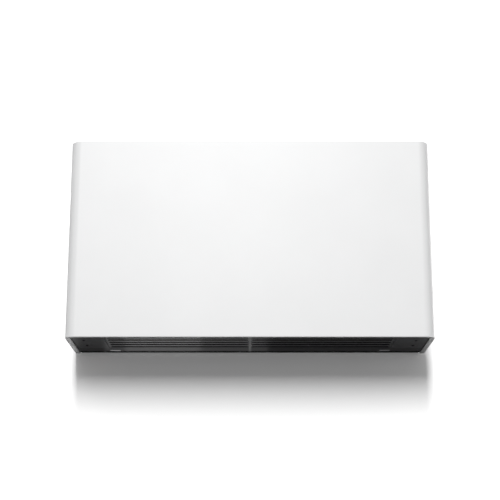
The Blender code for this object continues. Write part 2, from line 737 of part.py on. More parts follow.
def make_motor():
    """The motor, bored for its shaft, the shaft, and the strap that hangs it from the deck."""
    axis = (FAN_Y, FAN_Z)
    bore = SHAFT_RADIUS + GAP
    bell, length = 36 * MM, MOTOR_HALF_LENGTH
    profile = [
        (-length, bore),
        (-length, 18 * MM),
        (-length + 8 * MM, 18 * MM),
        (-length + 10 * MM, bell),
        (-length + 22 * MM, MOTOR_RADIUS),
        (length - 22 * MM, MOTOR_RADIUS),
        (length - 10 * MM, bell),
        (length - 8 * MM, 18 * MM),
        (length, 18 * MM),
        (length, bore),
    ]
    Shape().turned("x", axis, profile, 24, bored=True).object("motor_body", "motor_enamel")
    shaft = Shape().rod("x", axis, SHAFT_RADIUS, -SHAFT_HALF_LENGTH, SHAFT_HALF_LENGTH, 16)
    shaft = shaft.object("motor_shaft", "zinc_plated_steel")
    inner_radius, half = MOTOR_RADIUS + 0.5 * MM, 22 * MM
    strap = 3 * MM
    top = DECK_Z - GAP
    outer = arc(axis, inner_radius + strap, 180, 360, 14) + [
        (FAN_Y + inner_radius + strap, top - strap),
        (FAN_Y + 80 * MM, top - strap),
        (FAN_Y + 80 * MM, top),
        (FAN_Y - 80 * MM, top),
        (FAN_Y - 80 * MM, top - strap),
        (FAN_Y - inner_radius - strap, top - strap),
    ]
    cradle = Shape().prism(outer, "x", -half, half).object("motor_cradle", "galvanised_steel")
    hollow = arc(axis, inner_radius, 180, 360, 14) + [
        (FAN_Y + inner_radius, top - strap),
        (FAN_Y - inner_radius, top - strap),
    ]
    cut(cradle, Shape().prism(hollow, "x", -half - 5 * MM, half + 5 * MM))
    return shaft


def make_deck():
    """The shelf over the fans, with an outlet for each and a folded front edge."""
    front, back = CHASSIS_FRONT + 2 * MM, BACK_PLATE_Y - GAP
    fold = 16 * MM
    half = CHAMBER_X - GAP
    outline = [
        (front, DECK_Z + SHEET),
        (front, DECK_Z - fold),
        (front + SHEET, DECK_Z - fold),
        (front + SHEET, DECK_Z),
        (back, DECK_Z),
        (back, DECK_Z + SHEET),
    ]
    deck = Shape().prism(outline, "x", -half, half).object("fan_deck", "galvanised_steel")
    outlets = Shape()
    ends = scroll_outline(SHEET)
    low_y, high_y = ends[-1][0], ends[0][0]
    for side in (-1, 1):
        low_x = side * FAN_X - FAN_HALF_WIDTH + SHEET
        outlets.box((low_x, low_y, DECK_Z - 5 * MM), (low_x + 2 * (FAN_HALF_WIDTH - SHEET), high_y, DECK_Z + 5 * MM))
    return cut(deck, outlets)


# ---------------------------------------------------------------- coil and pipework
def tube_y(i):
    """The depth of the i-th tube, counted from the front."""
    return COIL_FRONT + TUBE_PITCH / 2 + i * TUBE_PITCH


def tube_places():
    """The (y, z) of every tube in the order that the water meets them: along the lower row, back along the upper."""
    lower = [(tube_y(i), ROW_HEIGHTS[0]) for i in range(TUBES_ACROSS)]
    upper = [(tube_y(i), ROW_HEIGHTS[1]) for i in reversed(range(TUBES_ACROSS))]
    return lower + upper


def tube_curve(name, points, radius, finish, resolution=2):
    """A round tube along the points."""
    curve = bpy.data.curves.new(name, "CURVE")
    curve.dimensions = "3D"
    curve.bevel_depth = radius
    curve.bevel_resolution = resolution
    curve.use_fill_caps = True
    spline = curve.splines.new("POLY")
    spline.points.add(len(points) - 1)
    for slot, point in zip(spline.points, points):
        slot.co = (*point, 1.0)
    curve.materials.append(finish_material(finish))
    made = bpy.data.objects.new(name, curve)
    bpy.context.scene.collection.objects.link(made)
    return made


def make_coil():
    """The fin pack on its tubes, and the plates at its ends."""
    pack = box_piece(
        "coil_fin_pack",
        (-COIL_HALF_LENGTH, COIL_FRONT, COIL_BOTTOM),
        (COIL_HALF_LENGTH, COIL_BACK, COIL_BOTTOM + COIL_HEIGHT),
        "aluminium_fin",
    )
    reach = COIL_HALF_LENGTH + 20 * MM
    bores = Shape()
    for place in tube_places():
        bores.rod("x", place, TUBE_RADIUS + 0.6 * MM, -reach, reach, 8)
    cut(pack, bores)
    points = []
    places = tube_places()
    bend_steps = 6
    for i, (y, z) in enumerate(places):
        ends = (-BEND_START, BEND_START) if i % 2 == 0 else (BEND_START, -BEND_START)
        start = COIL_TUBE_END if i == 0 else ends[0]
        finish = COIL_TUBE_END if i == len(places) - 1 else ends[1]
        points.append(Vector((start, y, z)))
        points.append(Vector((finish, y, z)))
        if i + 1 < len(places):
            this, following = Vector((finish, y, z)), Vector((finish, *places[i + 1]))
            centre, spoke = (this + following) / 2, (this - following) / 2
            outward = Vector((spoke.length if finish > 0 else -spoke.length, 0, 0))
            for k in range(1, bend_steps):
                angle = math.pi * k / bend_steps
                points.append(centre + spoke * math.cos(angle) + outward * math.sin(angle))
    tube_curve("coil_tube", points, TUBE_RADIUS, "copper")
    for word, side in SIDES:
        inner = COIL_HALF_LENGTH + GAP
        low_x, high_x = sided(side, inner, inner + SHEET)
        foot_low, foot_high = COIL_BOTTOM - 7 * MM, COIL_BOTTOM - 7 * MM + SHEET
        face, outer = side * inner, side * (inner + SHEET)
        toe = side * (CHAMBER_X - GAP)
        top = COIL_BOTTOM + COIL_HEIGHT + 8 * MM
        outline = [(face, foot_low), (face, top), (outer, top), (outer, foot_high), (toe, foot_high), (toe, foot_low)]
        plate = Shape().prism(outline, "y", COIL_FRONT - 4 * MM, COIL_BACK + 4 * MM)
        plate = plate.object(f"coil_end_{word}", "galvanised_steel")
        bores = Shape()
        for place in tube_places():
            bores.rod("x", place, TUBE_RADIUS + 0.6 * MM, low_x - 2 * MM, high_x + 2 * MM, 8)
        cut(plate, bores)


def rounded_route(corners, radius, steps=5):
    """The corners joined by straight runs, each inner corner rounded."""
    points = [Vector(corners[0])]
    for before, corner, after in zip(corners, corners[1:], corners[2:]):
        here = Vector(corner)
        back, ahead = (Vector(before) - here).normalized(), (Vector(after) - here).normalized()
        start, end = here + back * radius, here + ahead * radius
        centre = start + ahead * radius
        for k in range(steps + 1):
            angle = math.pi / 2 * k / steps
            points.append(centre - ahead * radius * math.cos(angle) - back * radius * math.sin(angle))
        points[-1] = end
    points.append(Vector(corners[-1]))
    return points


def make_pipework():
    """Flow and return from the coil to the pipe channel, with the valve in the flow."""
    y, (low_z, high_z) = tube_y(0), ROW_HEIGHTS
    bend = 16 * MM
    run_z = BOTTOM + 80 * MM
    flow_x, return_x = PIPE_DROPS_X
    valve_z = low_z - 90 * MM
    valve_half = 24 * MM
    flow_route = [
        (flow_x, y, valve_z - valve_half - GAP),
        (flow_x, y, run_z),
        (flow_x, PIPE_DROP_Y, run_z),
        (flow_x, PIPE_DROP_Y, PIPE_END_Z),
    ]
    branch_route = [
        (COIL_TUBE_END - GAP, y, low_z),
        (flow_x, y, low_z),
        (flow_x, y, valve_z + valve_half + GAP),
    ]
    return_y = y + 34 * MM
    return_route = [
        (COIL_TUBE_END - GAP, y, high_z),
        (return_x, y, high_z),
        (return_x, return_y, high_z),
        (return_x, return_y, run_z + 20 * MM),
        (return_x, PIPE_DROP_Y, run_z + 20 * MM),
        (return_x, PIPE_DROP_Y, PIPE_END_Z),
    ]
    tube_curve("flow_branch", rounded_route(branch_route, bend), PIPE_RADIUS, "copper", 3)
    tube_curve("flow_pipe", rounded_route(flow_route, bend), PIPE_RADIUS, "copper", 3)
    tube_curve("return_pipe", rounded_route(return_route, 9 * MM, 4), PIPE_RADIUS, "copper", 3)
    body = Shape().turned(
        "z",
        (flow_x, y),
        [
            (valve_z - valve_half, 11 * MM),
            (valve_z - 10 * MM, 11 * MM),
            (valve_z - 8 * MM, 14 * MM),
            (valve_z + 8 * MM, 14 * MM),
            (valve_z + 10 * MM, 11 * MM),
            (valve_z + valve_half, 11 * MM),
        ],
        12,
    )
    body = body.object("valve_body", "brass")
    neck_end = y + 26 * MM
    join(body, Shape().rod("y", (flow_x, valve_z), 9 * MM, y + 4 * MM, neck_end, 12))
    face = neck_end + GAP
    head = [(face, 12 * MM), (face + 6 * MM, 14 * MM), (face + 34 * MM, 14 * MM), (face + 38 * MM, 10 * MM)]
    Shape().turned("y", (flow_x, valve_z), head, 18).object("valve_actuator", "white_plastic")
    bleed_z = high_z + PIPE_RADIUS + GAP
    screw = [
        (bleed_z, 4 * MM),
        (bleed_z + 7 * MM, 4 * MM),
        (bleed_z + 7 * MM, 2.5 * MM),
        (bleed_z + 12 * MM, 2.5 * MM),
    ]
    return Shape().turned("z", (-504.5 * MM, y), screw, 6).object("bleed_valve", "brass")


# ---------------------------------------------------------------- electrics
BOX_LOW = (CHAMBER_X + 8 * MM, -235 * MM, BOTTOM + 130 * MM)
BOX_HIGH = (CHASSIS_X - 22 * MM, -95 * MM, BOTTOM + 300 * MM)
BOX_WALL = 2 * MM
BOX_ENTRY_Y = BOX_HIGH[1] - 15 * MM


def make_control_box():
    """The control box and its cover, with a hole in its top for the motor's lead."""
    tub = box_piece("control_box", BOX_LOW, BOX_HIGH, "grey_plastic")
    hollow = Shape().box(
        (BOX_LOW[0] + BOX_WALL, BOX_LOW[1] - 5 * MM, BOX_LOW[2] + BOX_WALL),
        (BOX_HIGH[0] - BOX_WALL, BOX_HIGH[1] - BOX_WALL, BOX_HIGH[2] - BOX_WALL),
    )
    cut(tub, hollow)
    cut(tub, Shape().rod("z", (CABLE_X, BOX_ENTRY_Y), 4 * MM, BOX_HIGH[2] - 5 * MM, BOX_HIGH[2] + 5 * MM, 12))
    front = BOX_LOW[1] - GAP
    box_piece(
        "control_box_cover",
        (BOX_LOW[0] - 1 * MM, front - 3 * MM, BOX_LOW[2] - 1 * MM),
        (BOX_HIGH[0] + 1 * MM, front, BOX_HIGH[2] + 1 * MM),
        "grey_plastic",
    )


def make_box_contents():
    """The circuit board, the terminal block and the fan motor's capacitor."""
    low, high = BOX_LOW, BOX_HIGH
    board_y = high[1] - 8 * MM
    box_piece(
        "circuit_board",
        (low[0] + 6 * MM, board_y, low[2] + 60 * MM),
        (high[0] - 6 * MM, board_y + 1.6 * MM, high[2] - 14 * MM),
        "circuit_green",
    )
    terminals = box_piece(
        "terminal_block",
        (low[0] + 6 * MM, high[1] - 26 * MM, low[2] + 14 * MM),
        (high[0] - 6 * MM, high[1] - 8 * MM, low[2] + 32 * MM),
        "white_plastic",
    )
    wells = Shape()
    for i in range(4):
        x = low[0] + 13 * MM + i * 9 * MM
        wells.rod("y", (x, low[2] + 23 * MM), 2.5 * MM, high[1] - 30 * MM, high[1] - 16 * MM, 8)
    cut(terminals, wells)
    middle = ((low[0] + high[0]) / 2, low[1] + 60 * MM)
    capacitor = Shape().rod("z", middle, 15 * MM, low[2] + BOX_WALL + GAP, low[2] + 70 * MM, 18)
    capacitor.object("run_capacitor", "white_plastic")


def make_cables():
    """The mains cable's gland in the pipe channel, and the lead from the motor to the control box."""
    centre = (GLAND_X, PIPE_DROP_Y)
    profile = [
        (CHANNEL_ROOF - 16 * MM, 7 * MM),
        (CHANNEL_ROOF - 12 * MM, 9.5 * MM),
        (CHANNEL_ROOF - 8 * MM, 11.5 * MM),
        (CHANNEL_ROOF - GAP, 11.5 * MM),
        (CHANNEL_ROOF - GAP, 8 * MM),
        (CHANNEL_ROOF + 10 * MM, 8 * MM),
    ]
    gland = Shape().turned("z", centre, profile, 12).object("cable_gland", "black_plastic")
    cut(gland, Shape().rod("z", centre, 4 * MM, CHANNEL_ROOF - 30 * MM, CHANNEL_ROOF + 30 * MM, 12))
    motor_end, height = MOTOR_HALF_LENGTH - 30 * MM, FAN_Z + 30 * MM
    lead = [
        (motor_end, FAN_Y + MOTOR_RADIUS + 4 * MM, height),
        (motor_end, CABLE_Y, height),
        (motor_end, CABLE_Y, CABLE_Z),
        (CABLE_X, CABLE_Y, CABLE_Z),
        (CABLE_X, BOX_ENTRY_Y, CABLE_Z),
        (CABLE_X, BOX_ENTRY_Y, BOX_HIGH[2] - 12 * MM),
    ]
    tube_curve("motor_lead", rounded_route(lead, 8 * MM, 4), 3 * MM, "cable_grey", 2)


# ---------------------------------------------------------------- top grille
def make_top_grille():
    """The outlet grille: a black plate recessed in the casing's top, with long slots and folded edges."""
    half_x, front, back = CHASSIS_X + 1 * MM, -266 * MM, BACK_PLATE_Y - GAP
    upper = TOP - 5 * MM
    skirt = upper - CHASSIS_TOP - GAP
    outer_low, outer_high = (-half_x, front), (half_x, back)
    grille = Shape().prism(rectangle(outer_low, outer_high), "z", upper - skirt, upper)
    grille = grille.object("top_grille", "black_powder_coat")
    hollow = rectangle((-half_x + SHEET, front + SHEET), (half_x - SHEET, back - SHEET))
    cut(grille, Shape().prism(hollow, "z", upper - skirt - 5 * MM, upper - SHEET))
    rows, columns = 7, 4
    bar_x, first_y, pitch_y, slot_y = 12 * MM, -252 * MM, 32 * MM, 16 * MM
    span = 2 * SLOT_OUTER
    slot_x = (span - (columns - 1) * bar_x) / columns
    slots = Shape()
    for row in range(rows):
        low_y = first_y + row * pitch_y
        for column in range(columns):
            low_x = -SLOT_OUTER + column * (slot_x + bar_x)
            slots.box((low_x, low_y, upper - 5 * MM), (low_x + slot_x, low_y + slot_y, upper + 5 * MM))
    return cut(grille, slots)


# ---------------------------------------------------------------- assembly
def clear_scene():
    for obj in list(bpy.data.objects):
        bpy.data.objects.remove(obj, do_unlink=True)


def main():
    clear_scene()
    casing, liner = make_casing(), make_liner()
    _, clips = make_catches()
    joint_empty("casing_slide", (0, FRONT, 0), [casing, liner, *clips])

    make_wall_bracket()
    make_hanger_rail()
    make_back_plate()
    make_chassis_ends()
    make_front_rails()
    make_chamber_walls()

    make_tray()
    make_centre_bar()
    make_hinge_rod()
    make_door_stops()
    for word, side in SIDES:
        door = make_door(word, side)
        frame, medium = make_filter(word, side)
        filter_empty = joint_empty(f"filter_{word}_lift", (side * 240 * MM, HINGE_Y, TRAY_Z), [frame, medium])
        hinge_empty = joint_empty(f"door_{word}_hinge", (0, HINGE_Y, HINGE_Z), [door])
        filter_empty.parent = hinge_empty
        filter_empty.matrix_parent_inverse.translation = -hinge_empty.location
        latch = make_latch(word, side)
        joint_empty(f"latch_{word}_turn", (side * LATCH_X, LATCH_Y, TRAY_Z), [latch])
        make_latch_plate(word, side)

    wheels = []
    for word, side in SIDES:
        make_fan_housing(word, side)
        wheels.append(make_fan_wheel(word, side))
    shaft = make_motor()
    joint_empty("fan_axis", (0, FAN_Y, FAN_Z), [*wheels, shaft])
    make_deck()

    make_coil()
    bleed = make_pipework()
    joint_empty("bleed_turn", bleed.location.copy(), [bleed])
    make_control_box()
    make_box_contents()
    make_cables()
    make_top_grille()


main()
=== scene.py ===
"""Looks for the wall-hung fan convector heater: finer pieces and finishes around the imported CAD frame.

Units are metres. +X is to the right as seen from the room, +Y points to the wall, +Z is up.
"""

import math

import bmesh
import bpy
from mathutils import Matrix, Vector


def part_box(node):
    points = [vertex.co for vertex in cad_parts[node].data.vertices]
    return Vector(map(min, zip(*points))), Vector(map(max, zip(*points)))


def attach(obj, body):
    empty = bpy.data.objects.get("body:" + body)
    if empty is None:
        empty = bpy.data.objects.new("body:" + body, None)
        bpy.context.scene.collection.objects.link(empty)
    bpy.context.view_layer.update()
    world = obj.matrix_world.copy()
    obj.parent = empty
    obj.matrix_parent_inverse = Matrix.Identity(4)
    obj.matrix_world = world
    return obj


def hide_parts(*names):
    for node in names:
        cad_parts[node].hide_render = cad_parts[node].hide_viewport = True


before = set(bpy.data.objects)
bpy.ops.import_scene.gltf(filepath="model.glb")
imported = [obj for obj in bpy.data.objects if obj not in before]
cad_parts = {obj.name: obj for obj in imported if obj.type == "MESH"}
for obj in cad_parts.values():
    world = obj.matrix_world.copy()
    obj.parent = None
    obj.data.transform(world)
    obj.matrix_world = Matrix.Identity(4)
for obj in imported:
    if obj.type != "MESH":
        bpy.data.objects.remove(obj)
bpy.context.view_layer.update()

MM = 0.001
SHEET = 1.5 * MM
SIDES = (("left", -1), ("right", 1))


def span(node):
    """The node's box as two corners."""
    low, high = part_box(node)
    return low, high


def middle_of(node):
    """The middle of the node's box."""
    return [(a + b) / 2 for a, b in zip(*span(node))]


# ---------------------------------------------------------------- places, read from the frame
CASING_LOW, CASING_HIGH = span("front_casing")
HALF_WIDTH = CASING_HIGH.x
FRONT, CASING_BACK = CASING_LOW.y, CASING_HIGH.y
BOTTOM, TOP = CASING_LOW.z, CASING_HIGH.z
WALL = 0.0
CORNER_RADIUS = 35 * MM
FLANGE = 17 * MM
HEM = 6 * MM
BEND = 2.6 * MM  # outer radius of a fold in the casing
INNER_BEND = BEND - SHEET


# ---------------------------------------------------------------- node materials
def add_node(tree, kind, inputs=None, **settings):
    """A new shader node with its settings and the values of its inputs."""
    made = tree.nodes.new(kind)
    for key, value in settings.items():
        setattr(made, key, value)
    for key, value in (inputs or {}).items():
        made.inputs[key].default_value = value
    return made


class Finish:
    """A procedural material on a Principled BSDF, built from object coordinates in metres."""

    def __init__(self, name, colour, roughness, metallic=0.0):
        self.material = bpy.data.materials.new(name)
        self.material.use_nodes = True
        self.tree = self.material.node_tree
        self.shader = self.tree.nodes["Principled BSDF"]
        self.material.diffuse_color = (*colour, 1.0)
        self.set(base_color=(*colour, 1.0), roughness=roughness, metallic=metallic)
        self.coords = add_node(self.tree, "ShaderNodeTexCoord").outputs["Object"]
        self.normal = None

    def set(self, **values):
        for key, value in values.items():
            self.shader.inputs[key.replace("_", " ").title().replace("Ior", "IOR")].default_value = value

    def link(self, output, socket):
        self.tree.links.new(output, socket)

    def fed(self, value, socket, output, kind, inputs, **settings):
        """The output of a new node that takes the value in one of its sockets."""
        made = add_node(self.tree, kind, inputs, **settings)
        self.link(value, made.inputs[socket])
        return made.outputs[output]

    def stretched(self, scale):
        """The coordinates scaled by three factors."""
        return self.fed(self.coords, "Vector", "Vector", "ShaderNodeMapping", {"Scale": scale})

    def noise(self, per_metre, detail=3.0, rough=0.55, coords=None):
        values = {"Scale": per_metre, "Detail": detail, "Roughness": rough}
        return self.fed(coords or self.coords, "Vector", "Fac", "ShaderNodeTexNoise", values)

    def cells(self, per_metre, output="Distance", feature="F1"):
        values = {"Scale": per_metre}
        return self.fed(self.coords, "Vector", output, "ShaderNodeTexVoronoi", values, feature=feature)

    def combined(self, operation, first, second):
        """Two values, or a value and a number, combined."""
        made = add_node(self.tree, "ShaderNodeMath", operation=operation)
        self.link(first, made.inputs[0])
        if isinstance(second, float):
            made.inputs[1].default_value = second
        else:
            self.link(second, made.inputs[1])
        return made.outputs[0]

    def colours(self, value, low, high, start=0.3, end=0.7):
        """Base colour from low to high as the value goes from start to end."""
        ramp = add_node(self.tree, "ShaderNodeValToRGB")
        for element, position, colour in zip(ramp.color_ramp.elements, (start, end), (low, high)):
            element.position = position
            element.color = (*colour, 1.0)
        self.link(value, ramp.inputs["Fac"])
        self.link(ramp.outputs["Color"], self.shader.inputs["Base Color"])

    def roughnesses(self, value, low, high, start=0.3, end=0.7):
        """Roughness from low to high as the value goes from start to end."""
        limits = {"From Min": start, "From Max": end, "To Min": low, "To Max": high}
        ranged = self.fed(value, "Value", "Result", "ShaderNodeMapRange", limits)
        self.link(ranged, self.shader.inputs["Roughness"])

    def bump(self, height, distance, strength):
        """Adds relief of that depth in metres to what is already there."""
        made = add_node(self.tree, "ShaderNodeBump", {"Distance": distance, "Strength": strength})
        self.link(height, made.inputs["Height"])
        if self.normal:
            self.link(self.normal, made.inputs["Normal"])
        self.normal = made.outputs["Normal"]
        self.link(self.normal, self.shader.inputs["Normal"])


def scaled(colour, factor):
    return tuple(min(1.0, c * factor) for c in colour)


def powder_coat(name, colour, roughness, specular=0.5):
    """Cured powder: a faint orange peel, a fine grain, and slightly uneven gloss."""
    made = Finish(name, colour, roughness)
    peel = made.noise(420, 2.0)
    grain = made.noise(2600, 2.0)
    cloud = made.noise(4.5, 4.0)
    made.colours(cloud, scaled(colour, 0.985), scaled(colour, 1.012))
    made.roughnesses(grain, roughness - 0.04, roughness + 0.05)
    made.bump(peel, 0.00006, 0.35)
    made.bump(grain, 0.00002, 0.30)
    made.set(specular_ior_level=specular)
    return made.material


def galvanised(name="galvanised_sheet"):
    """Hot-dip zinc: spangle cells of different brightness, with fine rolling lines and dull stains."""
    made = Finish(name, (0.55, 0.57, 0.59), 0.42, 1.0)
    spangle = made.fed(made.cells(95, "Color"), "Color", "Val", "ShaderNodeRGBToBW", {})
    stain = made.noise(9, 5.0, 0.6)
    mixed = made.combined("ADD", made.combined("MULTIPLY", spangle, 0.55), made.combined("MULTIPLY", stain, 0.45))
    made.colours(mixed, (0.50, 0.52, 0.54), (0.62, 0.64, 0.66), 0.25, 0.75)
    made.roughnesses(spangle, 0.38, 0.50, 0.1, 0.9)
    made.bump(made.noise(260, 3.0, 0.6, made.stretched((1.0, 1.0, 0.08))), 0.00004, 0.25)
    return made.material


def zinc_plate(name="zinc_plate"):
    """Bright plate with a faint straw tint and fine turning marks."""
    made = Finish(name, (0.68, 0.68, 0.67), 0.28, 1.0)
    tint = made.noise(60, 3.0)
    made.colours(tint, (0.60, 0.61, 0.63), (0.74, 0.72, 0.66))
    made.roughnesses(made.noise(900, 3.0), 0.20, 0.38)
    made.bump(made.noise(1500, 2.0), 0.00002, 0.4)
    return made.material


def fin_metal(name="fin_aluminium"):
    """Thin fin stock with pressed ripples across it."""
    made = Finish(name, (0.78, 0.79, 0.81), 0.36, 0.9)
    made.colours(made.noise(35, 4.0), (0.68, 0.69, 0.71), (0.84, 0.85, 0.87))
    made.roughnesses(made.noise(240, 3.0), 0.28, 0.44)
    made.bump(made.noise(400, 2.0, 0.5, made.stretched((1.0, 0.25, 1.0))), 0.00006, 0.5)
    return made.material


def tube_metal(name, colour, dark, roughness):
    """Drawn tube: handling stains, brighter streaks along it and a fine skin."""
    made = Finish(name, colour, roughness, 1.0)
    stain = made.noise(26, 5.0, 0.65)
    made.colours(stain, dark, colour, 0.32, 0.62)
    made.roughnesses(made.noise(150, 4.0), roughness - 0.08, roughness + 0.16)
    made.bump(made.noise(900, 2.0), 0.00002, 0.5)
    return made.material


def moulded(name, colour, roughness, specular=0.4):
    """Moulded plastic with a spark-eroded texture."""
    made = Finish(name, colour, roughness)
    made.colours(made.noise(22, 4.0), scaled(colour, 0.9), scaled(colour, 1.1))
    made.roughnesses(made.noise(840, 2.0), roughness - 0.06, roughness + 0.08)
    made.bump(made.noise(1400, 2.0), 0.00005, 0.4)
    made.set(specular_ior_level=specular)
    return made.material


def enamel(name, colour):
    """Sprayed enamel on a casting: a slightly pitted skin under the gloss."""
    made = Finish(name, colour, 0.42)
    made.colours(made.noise(40, 4.0), scaled(colour, 0.8), scaled(colour, 1.35))
    made.roughnesses(made.noise(320, 3.0), 0.34, 0.52)
    made.bump(made.noise(520, 3.0), 0.0001, 0.5)
    made.set(coat_weight=0.15)
    return made.material


def fleece(name, colour):
    """Non-woven fleece: tangled fibres over a coarse weave."""
    made = Finish(name, colour, 0.95)
    fibre = made.noise(1500, 5.0, 0.75, made.stretched((1.0, 0.35, 1.0)))
    clump = made.noise(130, 4.0)
    made.colours(made.combined("MULTIPLY", fibre, clump), scaled(colour, 0.55), scaled(colour, 1.35), 0.12, 0.42)
    made.roughnesses(clump, 0.88, 1.0)
    made.bump(fibre, 0.0004, 0.8)
    made.bump(clump, 0.0006, 0.4)
    made.set(specular_ior_level=0.05)
    return made.material


def foam(name, colour):
    """Open-cell foam: a pitted surface of small round cells."""
    made = Finish(name, colour, 0.96)
    pores = made.cells(700)
    made.colours(pores, scaled(colour, 0.45), scaled(colour, 1.5), 0.1, 0.6)
    made.roughnesses(made.noise(80, 3.0), 0.9, 1.0)
    made.bump(pores, 0.0005, 0.8)
    made.set(sheen_weight=0.15)
    return made.material


def circuit_board(name="solder_mask"):
    """Green solder mask over copper tracks, with a dull woven base."""
    made = Finish(name, (0.03, 0.18, 0.08), 0.35)
    tracks = made.cells(260, "Distance", "DISTANCE_TO_EDGE")
    made.colours(tracks, (0.06, 0.30, 0.14), (0.015, 0.11, 0.05), 0.02, 0.05)
    made.roughnesses(made.noise(300, 2.0), 0.28, 0.42)
    made.bump(tracks, 0.00005, 0.5)
    return made.material


def sheathing(name, colour, roughness):
    """PVC cable sheath: a faint drawn texture."""
    made = Finish(name, colour, roughness)
    made.colours(made.noise(70, 3.0), scaled(colour, 0.85), scaled(colour, 1.15))
    made.roughnesses(made.noise(500, 2.0), roughness - 0.06, roughness + 0.08)
    made.bump(made.noise(1100, 2.0), 0.00003, 0.4)
    return made.material


# each look's slot and material
LOOKS = {
    "white": ("white_powder_coat", powder_coat("white_powder_coat_fine", (0.79, 0.793, 0.795), 0.38, 0.3)),
    "black": ("black_powder_coat", powder_coat("black_powder_coat_fine", (0.009, 0.009, 0.010), 0.38, 0.04)),
    "grey_bar": ("black_powder_coat", powder_coat("dark_grey_powder_coat_fine", (0.07, 0.07, 0.072), 0.5, 0.1)),
    "galvanised": ("galvanised_steel", galvanised()),
    "zinc": ("zinc_plated_steel", zinc_plate()),
    "dull_zinc": (
        "zinc_plated_steel",
        tube_metal("dull_zinc_plate", (0.20, 0.20, 0.205), (0.13, 0.13, 0.135), 0.45),
    ),
    "fin": ("aluminium_fin", fin_metal()),
    "copper": ("copper", tube_metal("drawn_copper", (0.78, 0.42, 0.27), (0.48, 0.22, 0.13), 0.28)),
    "brass": ("brass", tube_metal("machined_brass", (0.80, 0.63, 0.32), (0.60, 0.44, 0.20), 0.26)),
    "steel": ("zinc_plated_steel", tube_metal("ground_steel", (0.60, 0.60, 0.61), (0.42, 0.42, 0.43), 0.24)),
    "enamel": ("motor_enamel", enamel("motor_enamel_fine", (0.045, 0.05, 0.055))),
    "black_plastic": ("black_plastic", moulded("black_moulding", (0.006, 0.006, 0.0065), 0.62, 0.06)),
    "grey_plastic": ("grey_plastic", moulded("grey_moulding", (0.35, 0.36, 0.37), 0.5)),
    "white_plastic": ("white_plastic", moulded("white_moulding", (0.80, 0.80, 0.77), 0.4)),
    "fleece": ("filter_fabric", fleece("filter_fleece", (0.004, 0.004, 0.0042))),
    "foam": ("liner_foam", foam("liner_foam_fine", (0.07, 0.07, 0.075))),
    "board": ("circuit_green", circuit_board()),
    "cable": ("cable_grey", sheathing("grey_sheath", (0.18, 0.18, 0.19), 0.55)),
    "brown_wire": ("cable_grey", sheathing("brown_insulation", (0.16, 0.06, 0.03), 0.4)),
    "blue_wire": ("cable_grey", sheathing("blue_insulation", (0.03, 0.12, 0.42), 0.4)),
    "earth_wire": ("cable_grey", sheathing("green_insulation", (0.10, 0.36, 0.05), 0.4)),
}


# ---------------------------------------------------------------- mesh helpers
def new_object(name, data):
    made = bpy.data.objects.new(name, data)
    bpy.context.scene.collection.objects.link(made)
    return made


def on_circle(centre, radius, angle):
    return (centre[0] + radius * math.cos(angle), centre[1] + radius * math.sin(angle))


def circle(centre, radius, sides=32):
    return [on_circle(centre, radius, 2 * math.pi * i / sides) for i in range(sides)]


def arc(centre, radius, start_deg, end_deg, steps):
    angles = [math.radians(start_deg + (end_deg - start_deg) * i / steps) for i in range(steps + 1)]
    return [on_circle(centre, radius, angle) for angle in angles]


def rectangle(low, high):
    return [(low[0], low[1]), (high[0], low[1]), (high[0], high[1]), (low[0], high[1])]


def rounded(low, high, radius, steps=6):
    """A rectangle outline with round corners."""
    corners = (
        (high[0] - radius, low[1] + radius, -90),
        (high[0] - radius, high[1] - radius, 0),
        (low[0] + radius, high[1] - radius, 90),
        (low[0] + radius, low[1] + radius, 180),
    )
    return [p for x, y, start in corners for p in arc((x, y), radius, start, start + 90, steps)]


def rounded_about(x, y, half_x, half_y, radius, steps):
    """The same outline from its middle and its half sizes."""
    return rounded((x - half_x, y - half_y), (x + half_x, y + half_y), radius, steps)


def along_mm(start, rows, out=1):
    """A profile of (along, radius) pairs from rows in millimetres, measured from start in the direction out."""
    return [(start + out * along * MM, radius * MM) for along, radius in rows]


PLANE = {"x": (1, 2, 0), "y": (0, 2, 1), "z": (0, 1, 2)}


def point(axis, pair, along):
    co = [0.0, 0.0, 0.0]
    for index, value in zip(PLANE[axis], (*pair, along)):
        co[index] = value
    return co


